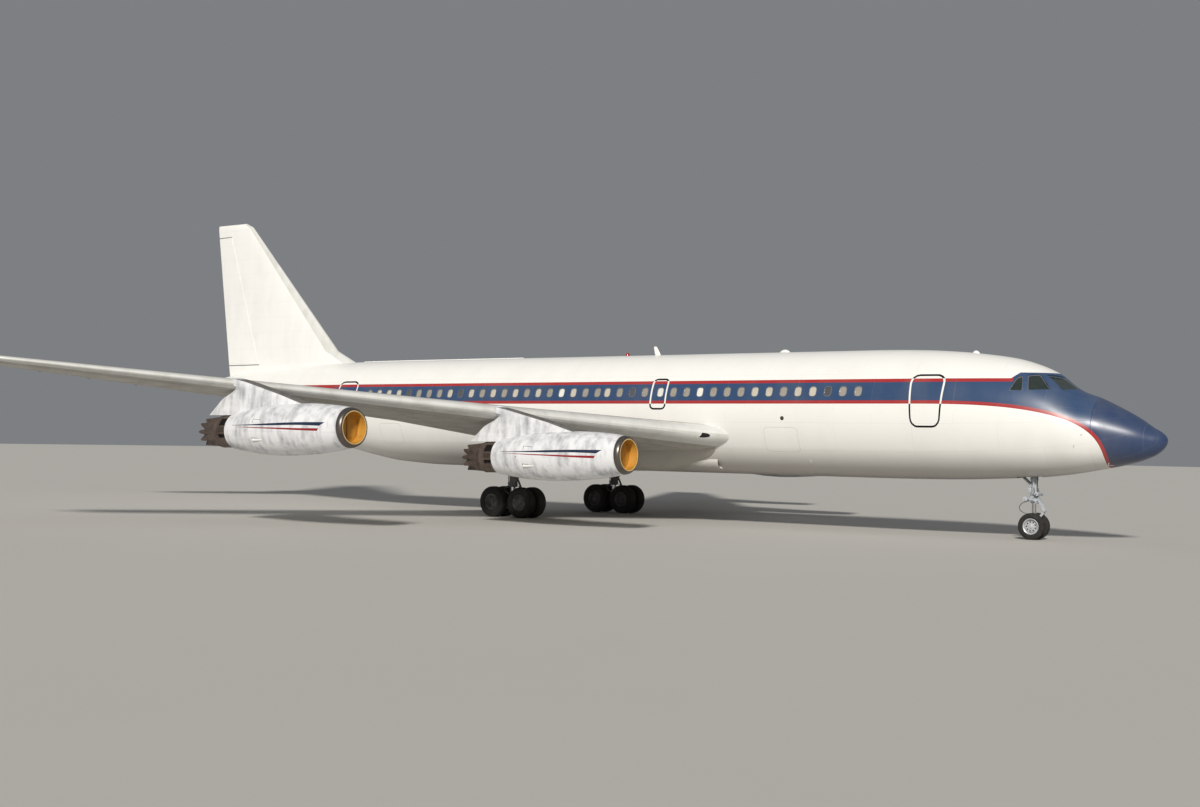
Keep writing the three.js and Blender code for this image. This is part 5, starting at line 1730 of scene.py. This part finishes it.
def makeGear():
    for spec, sets in (
        (mainWheel, [(f"{s}_{p}", Vector((mainGear["x"] + dx, sy * mainGear["y"], mainGear["axle"])))
                     for s, sy in (("port", 1), ("starboard", -1))
                     for p, dx in (("fore", mainGear["base"] / 2), ("aft", -mainGear["base"] / 2))]),
        (noseWheel, [("nose", Vector((noseGear["x"], 0, noseGear["axle"])))]),
    ):
        tyre = makeTyre(spec)
        hub, bolts = makeHub(spec)
        for tag, centre in sets:
            makeWheelSet(spec, (tyre, hub, bolts), centre, tag, "wheels_" + tag)
        drop(tyre, hub, bolts)
    for side, sideName in ((1, "port"), (-1, "starboard")):
        makeMainGear(side, sideName)
    makeNoseGear()


makeGear()
print("landing gear made")

# small fittings on the body: aerials, vents, probes, lamps and the joints of the belly
fittings = {
    "crown": ((8.27, 0.34, 0.10), (14.42, 0.20, 0.085)),   # along the body, length, height of the low aerials
    "blades": ((3.6, 1, 0.30), (-1.8, -1, 0.26)),  # along the body, above 1 or below -1, height
    "port": (9.14, 3.29, 0.062),
    "drain": (9.79, 2.015, 0.045),
    "probe": (18.31, 2.172),
    "beacon": 2.4,
}
# on each half of the belly: wheel well doors, a service hatch, nose gear doors; width and step of each line
bellyJoints = (
    ([(1.35, 0.03), (1.35, 1.28), (-1.25, 1.28), (-1.25, 0.03)], 0.012, 0.12),
    ([(1.35, 0.66), (-1.25, 0.66)], 0.012, 0.12),
    ([(10.4, 0.1), (10.4, 0.52), (9.6, 0.52), (9.6, 0.1)], 0.008, 0.08),
    ([(16.42, 0.275), (15.70, 0.275)], 0.010, 0.08),
)


def crownPoint(x, y, out):
    top, bottom, half = bodyRow(x)
    return Vector((x, y, (top + bottom) / 2 + (top - bottom) / 2 * math.sqrt(max(0.0, 1 - (y / half) ** 2)) + out))


def bellyPoint(x, y, out):
    top, bottom, half = bodyRow(x)
    return Vector((x, y, (top + bottom) / 2 - (top - bottom) / 2 * math.sqrt(max(0.0, 1 - (y / half) ** 2)) - out))


def ringOutline(x, z, radius):
    return [(x + radius * math.cos(math.tau * k / 24), z + radius * math.sin(math.tau * k / 24)) for k in range(24)]


def makeFittings():
    bm = newMesh()
    for x, length, high in fittings["crown"]:
        ring = [(x + length * (0.5 - i / 8), math.sin(math.pi * min(1.0, 0.04 + 0.92 * i / 8)) ** 0.6)
                for i in range(9)]

        def domePoint(place, angle):
            along, size = place
            base = crownPoint(along, 0, -0.012)
            return base + Vector((0, 0.055 * size * math.cos(angle), high * size * max(math.sin(angle), -0.1)))
        loft(bm, ring, 20, domePoint)
    for x, face, high in fittings["blades"]:
        foot = crownPoint(x, 0, -0.01) if face > 0 else bellyPoint(x, 0, -0.01)
        rings = [(0, 0.22, 0.012), (0.3, 0.20, 0.011), (0.8, 0.14, 0.008), (0.95, 0.11, 0.005), (1.0, 0.07, 0.002)]

        def bladePoint(ring, angle):
            share, chord, thick = ring
            return foot + Vector((chord * 0.5 * math.cos(angle) - 0.12 * share, thick * math.sin(angle),
                                  face * high * share))
        loft(bm, rings, 20, bladePoint)
    # a raised strip along the crown aft of the cabin, to the fin
    rows = [((x, -0.05), (x, 0.05)) for x in [-2.0 - 0.4 * i for i in range(20)]]
    ribbon(bm, rows, crownPoint, (-0.01, 0.022), 3)
    dress(asObject("crown_fittings", bm), [finish["white"]], slot="white_paint")

    bm = newMesh()
    for side in (1, -1):
        plugOnSkin(bm, ringOutline(*fittings["port"]), side, (-0.01, 0.0012))
    dress(asObject("body_ports", bm), [finish["hot"]])
    bm = newMesh()
    for side in (1, -1):
        x, z, radius = fittings["drain"]
        bandOnSkin(bm, (ringOutline(x, z, radius), ringOutline(x, z, radius * 0.6)), side, (-0.005, 0.012))
    dress(asObject("body_drains", bm), [finish["edge"]])

    bm = newMesh()
    for side in (1, -1):
        x, z = fittings["probe"]
        foot = bodyPoint(x, z, side, -0.004)
        out = bodyPoint(x, z, side, 0.075)
        rod(bm, foot, out, 0.014, 0.010)
        hose(bm, [out - Vector((0.01, 0, 0)), out + Vector((0.03, 0, 0)), out + Vector((0.15, 0, 0.004))], 0.009)
        for dx, dz in ((-0.55, 0.75), (-0.75, 0.45)):
            foot = bodyPoint(x + dx, z + dz, side, -0.004)
            rod(bm, foot, bodyPoint(x + dx, z + dz, side, 0.05), 0.012, 0.006)
    dress(asObject("nose_probes", bm), [finish["trim"]])

    # joints of the belly: wheel well doors, nose gear doors, service hatches
    bm = newMesh()
    for side in (1, -1):
        for line, width, step in bellyJoints:
            flipped = [(x, side * y) for x, y in line]
            ribbon(bm, lineRows(flipped, width, step), bellyPoint, (-0.004, 0.001), 1)
    ribbon(bm, lineRows([(-4.6, -0.30), (-4.6, 0.30), (-6.0, 0.30), (-6.0, -0.30), (-4.6, -0.30)], 0.010, 0.1),
           bellyPoint, (-0.004, 0.001), 1)
    dress(asObject("body_joints", bm), [finish["seam"]])

    # cargo doors on the starboard side, below the line, painted over
    bm = newMesh()
    for x, low, high, width in ((9.05, 2.30, 3.02, 1.12), (-6.7, 2.32, 3.02, 1.05)):
        outline = roundedOutline(x, low, high, width, 0.12, 5)
        outline.append(outline[0])
        ribbon(bm, lineRows(outline, 0.010, 0.12), lambda u, v, out: bodyPoint(u, v, -1, out), (-0.004, 0.001), 1)
    dress(asObject("cargo_door_joints", bm), [finish["faintSeam"]])

    bm = newMesh()
    top = crownPoint(fittings["beacon"], 0, -0.01)
    bottom = bellyPoint(fittings["beacon"], 0, -0.01)
    for foot, face in ((top, 1), (bottom, -1)):
        profile = [(0.0, 0.0), (0.0, 0.075), (0.05, 0.070), (0.10, 0.045), (0.122, 0.0)]
        turned(bm, profile, foot, (0, 0, face), axis["y"], 28)
    dress(asObject("beacons", bm), [finish["redLens"]])


def wingPlan(stations, top):
    # a place seen from above, laid on a wing's upper or lower skin
    def surface(x, y, out):
        place = abs(y)
        lead, chord = leadAndChord(stations, place)
        point = foilPoint(stations, place, (lead - x) / chord, 1 if top else -1)
        return Vector((point.x, place, point.z + (out if top else -out)))
    return surface


wingLines = {
    "span": (1.9, 17.6),
    "along": ((True, 0.16), (True, 0.62), (False, 0.16), (False, 0.60)),  # on top or not, share of the chord
    # spoilers: from and to in span, front and back as shares of the chord
    "spoilers": ((2.3, 5.7, 0.68, 0.775), (6.3, 8.6, 0.60, 0.72), (8.75, 11.0, 0.58, 0.70)),
    "across": (4.2, 6.0, 8.4, 10.9, 13.6, 16.2),
    "hatches": (3.4, 5.1, 7.9, 9.8, 11.8, 14.2),  # of the fuel tanks, underneath
    "hatchHalf": (0.13, 0.21),
}


def makeWingDetails():
    # joints between skins and round the spoilers and hatches, laid on the wing
    def sweepLine(share, start, end, count):
        places = [start + (end - start) * k / count for k in range(count + 1)]
        marks = [leadAndChord(wingStations, place) for place in places]
        return [(lead - share * chord, place) for (lead, chord), place in zip(marks, places)]

    lines = [(top, sweepLine(share, *wingLines["span"], 24)) for top, share in wingLines["along"]]
    for start, end, front, back in wingLines["spoilers"]:
        a, b = (sweepLine(share, start, end, 6) for share in (front, back))
        lines.append((True, a + b[::-1] + [a[0]]))
        for share in (1 / 3, 2 / 3):
            place = start + (end - start) * share
            lead, chord = leadAndChord(wingStations, place)
            lines.append((True, [(lead - front * chord, place), (lead - back * chord, place)]))
    for place in wingLines["across"]:
        lead, chord = leadAndChord(wingStations, place)
        for top in (True, False):
            lines.append((top, [(lead - 0.05 * chord, place), (lead - 0.60 * chord, place)]))
    bm = newMesh()
    for top, points in lines:
        ribbon(bm, lineRows(points, 0.010, 0.4), wingPlan(wingStations, top), (-0.003, 0.0012), 1)
    for place in wingLines["hatches"]:
        lead, chord = leadAndChord(wingStations, place)
        x, (long, wide) = lead - 0.36 * chord, wingLines["hatchHalf"]
        turns = [math.tau * k / 20 for k in range(21)]
        oval = [(x + long * math.cos(turn), place + wide * math.sin(turn)) for turn in turns]
        ribbon(bm, lineRows(oval, 0.010, 0.1), wingPlan(wingStations, False), (-0.003, 0.0012), 1)
    dressPair("wing_joints", bm, [finish["seam"]])

    # wicks that shed static, a jet of thin rods off the trailing edges
    for stem, stations, body, places in (
        ("wing_wicks", wingStations, "root", (16.9, 17.4, 17.85)),
        ("aileron_wicks", wingStations, "aileron", (13.2, 14.4, 15.6)),
        ("elevator_wicks", tailStations, "elevator", (3.4, 4.3, 5.2)),
    ):
        bm = newMesh()
        for place in places:
            tail = foilPoint(stations, place, 1.0, 0)
            aft = max(tail.x - 0.13, cadBox[0].x + 0.01)
            rod(bm, tail + Vector((0.03, 0, 0)), Vector((aft, tail.y, tail.z)), 0.006, 0.003, 8)
        port = asObject(stem + "_port", bm)
        twin = mirrored(port, stem + "_starboard")
        for piece, side in ((port, "port"), (twin, "starboard")):
            dress(piece, [finish["black"]], body="root" if body == "root" else f"{body}_{side}")

    # lamps at the wing tips
    for side, sideName, look in ((1, "port", "redLens"), (-1, "starboard", "greenLens")):
        bm = newMesh()
        tip = foilPoint(wingStations, wingTip - 0.04, 0.03, 0)
        rings = [(0.10, 0.010), (0.06, 0.036), (0.0, 0.045), (-0.10, 0.042), (-0.2, 0.02), (-0.23, 0.006)]
        loft(bm, rings, 20, lambda ring, angle: Vector((
            tip.x - 0.03 + ring[0], side * (tip.y - 0.02) + ring[1] * 0.8 * math.cos(angle),
            tip.z + ring[1] * math.sin(angle))))
        dress(asObject("tip_lamp_" + sideName, bm), [finish[look]])


def makeStage():
    bm = bmesh.new()
    bmesh.ops.create_grid(bm, x_segments=4, y_segments=4, size=lights["floorSize"])
    floor = asObject("floor", bm)
    floor.data.materials.append(finish["floor"])

    # soft studio light: a broad even sky and one large warm key from behind the camera's left shoulder
    scene = bpy.context.scene
    scene.view_settings.view_transform = "Standard"
    world = bpy.data.worlds.new("studio")
    world.use_nodes = True
    world.node_tree.nodes["Background"].inputs["Color"].default_value = toLinear("#e6eaf0")
    world.node_tree.nodes["Background"].inputs["Strength"].default_value = lights["sky"]
    scene.world = world
    for name, towards, strength, spread, colour in lights["suns"]:
        data = bpy.data.lights.new(name, "SUN")
        data.energy, data.angle, data.color = strength, math.radians(spread), toLinear(colour)[:3]
        item = bpy.data.objects.new(name, data)
        item.rotation_euler = Vector(towards).to_track_quat("Z", "Y").to_euler()
        scene.collection.objects.link(item)


lights = {
    "floorSize": 260,
    "sky": 0.26,
    # name, direction to it, strength, spread in degrees, colour
    "suns": [("key", (0.40, -0.80, 0.55), 3.25, 7, "#fffaf3")],
}

makeFittings()
makeWingDetails()
makeStage()
print("details, stage and lights made")
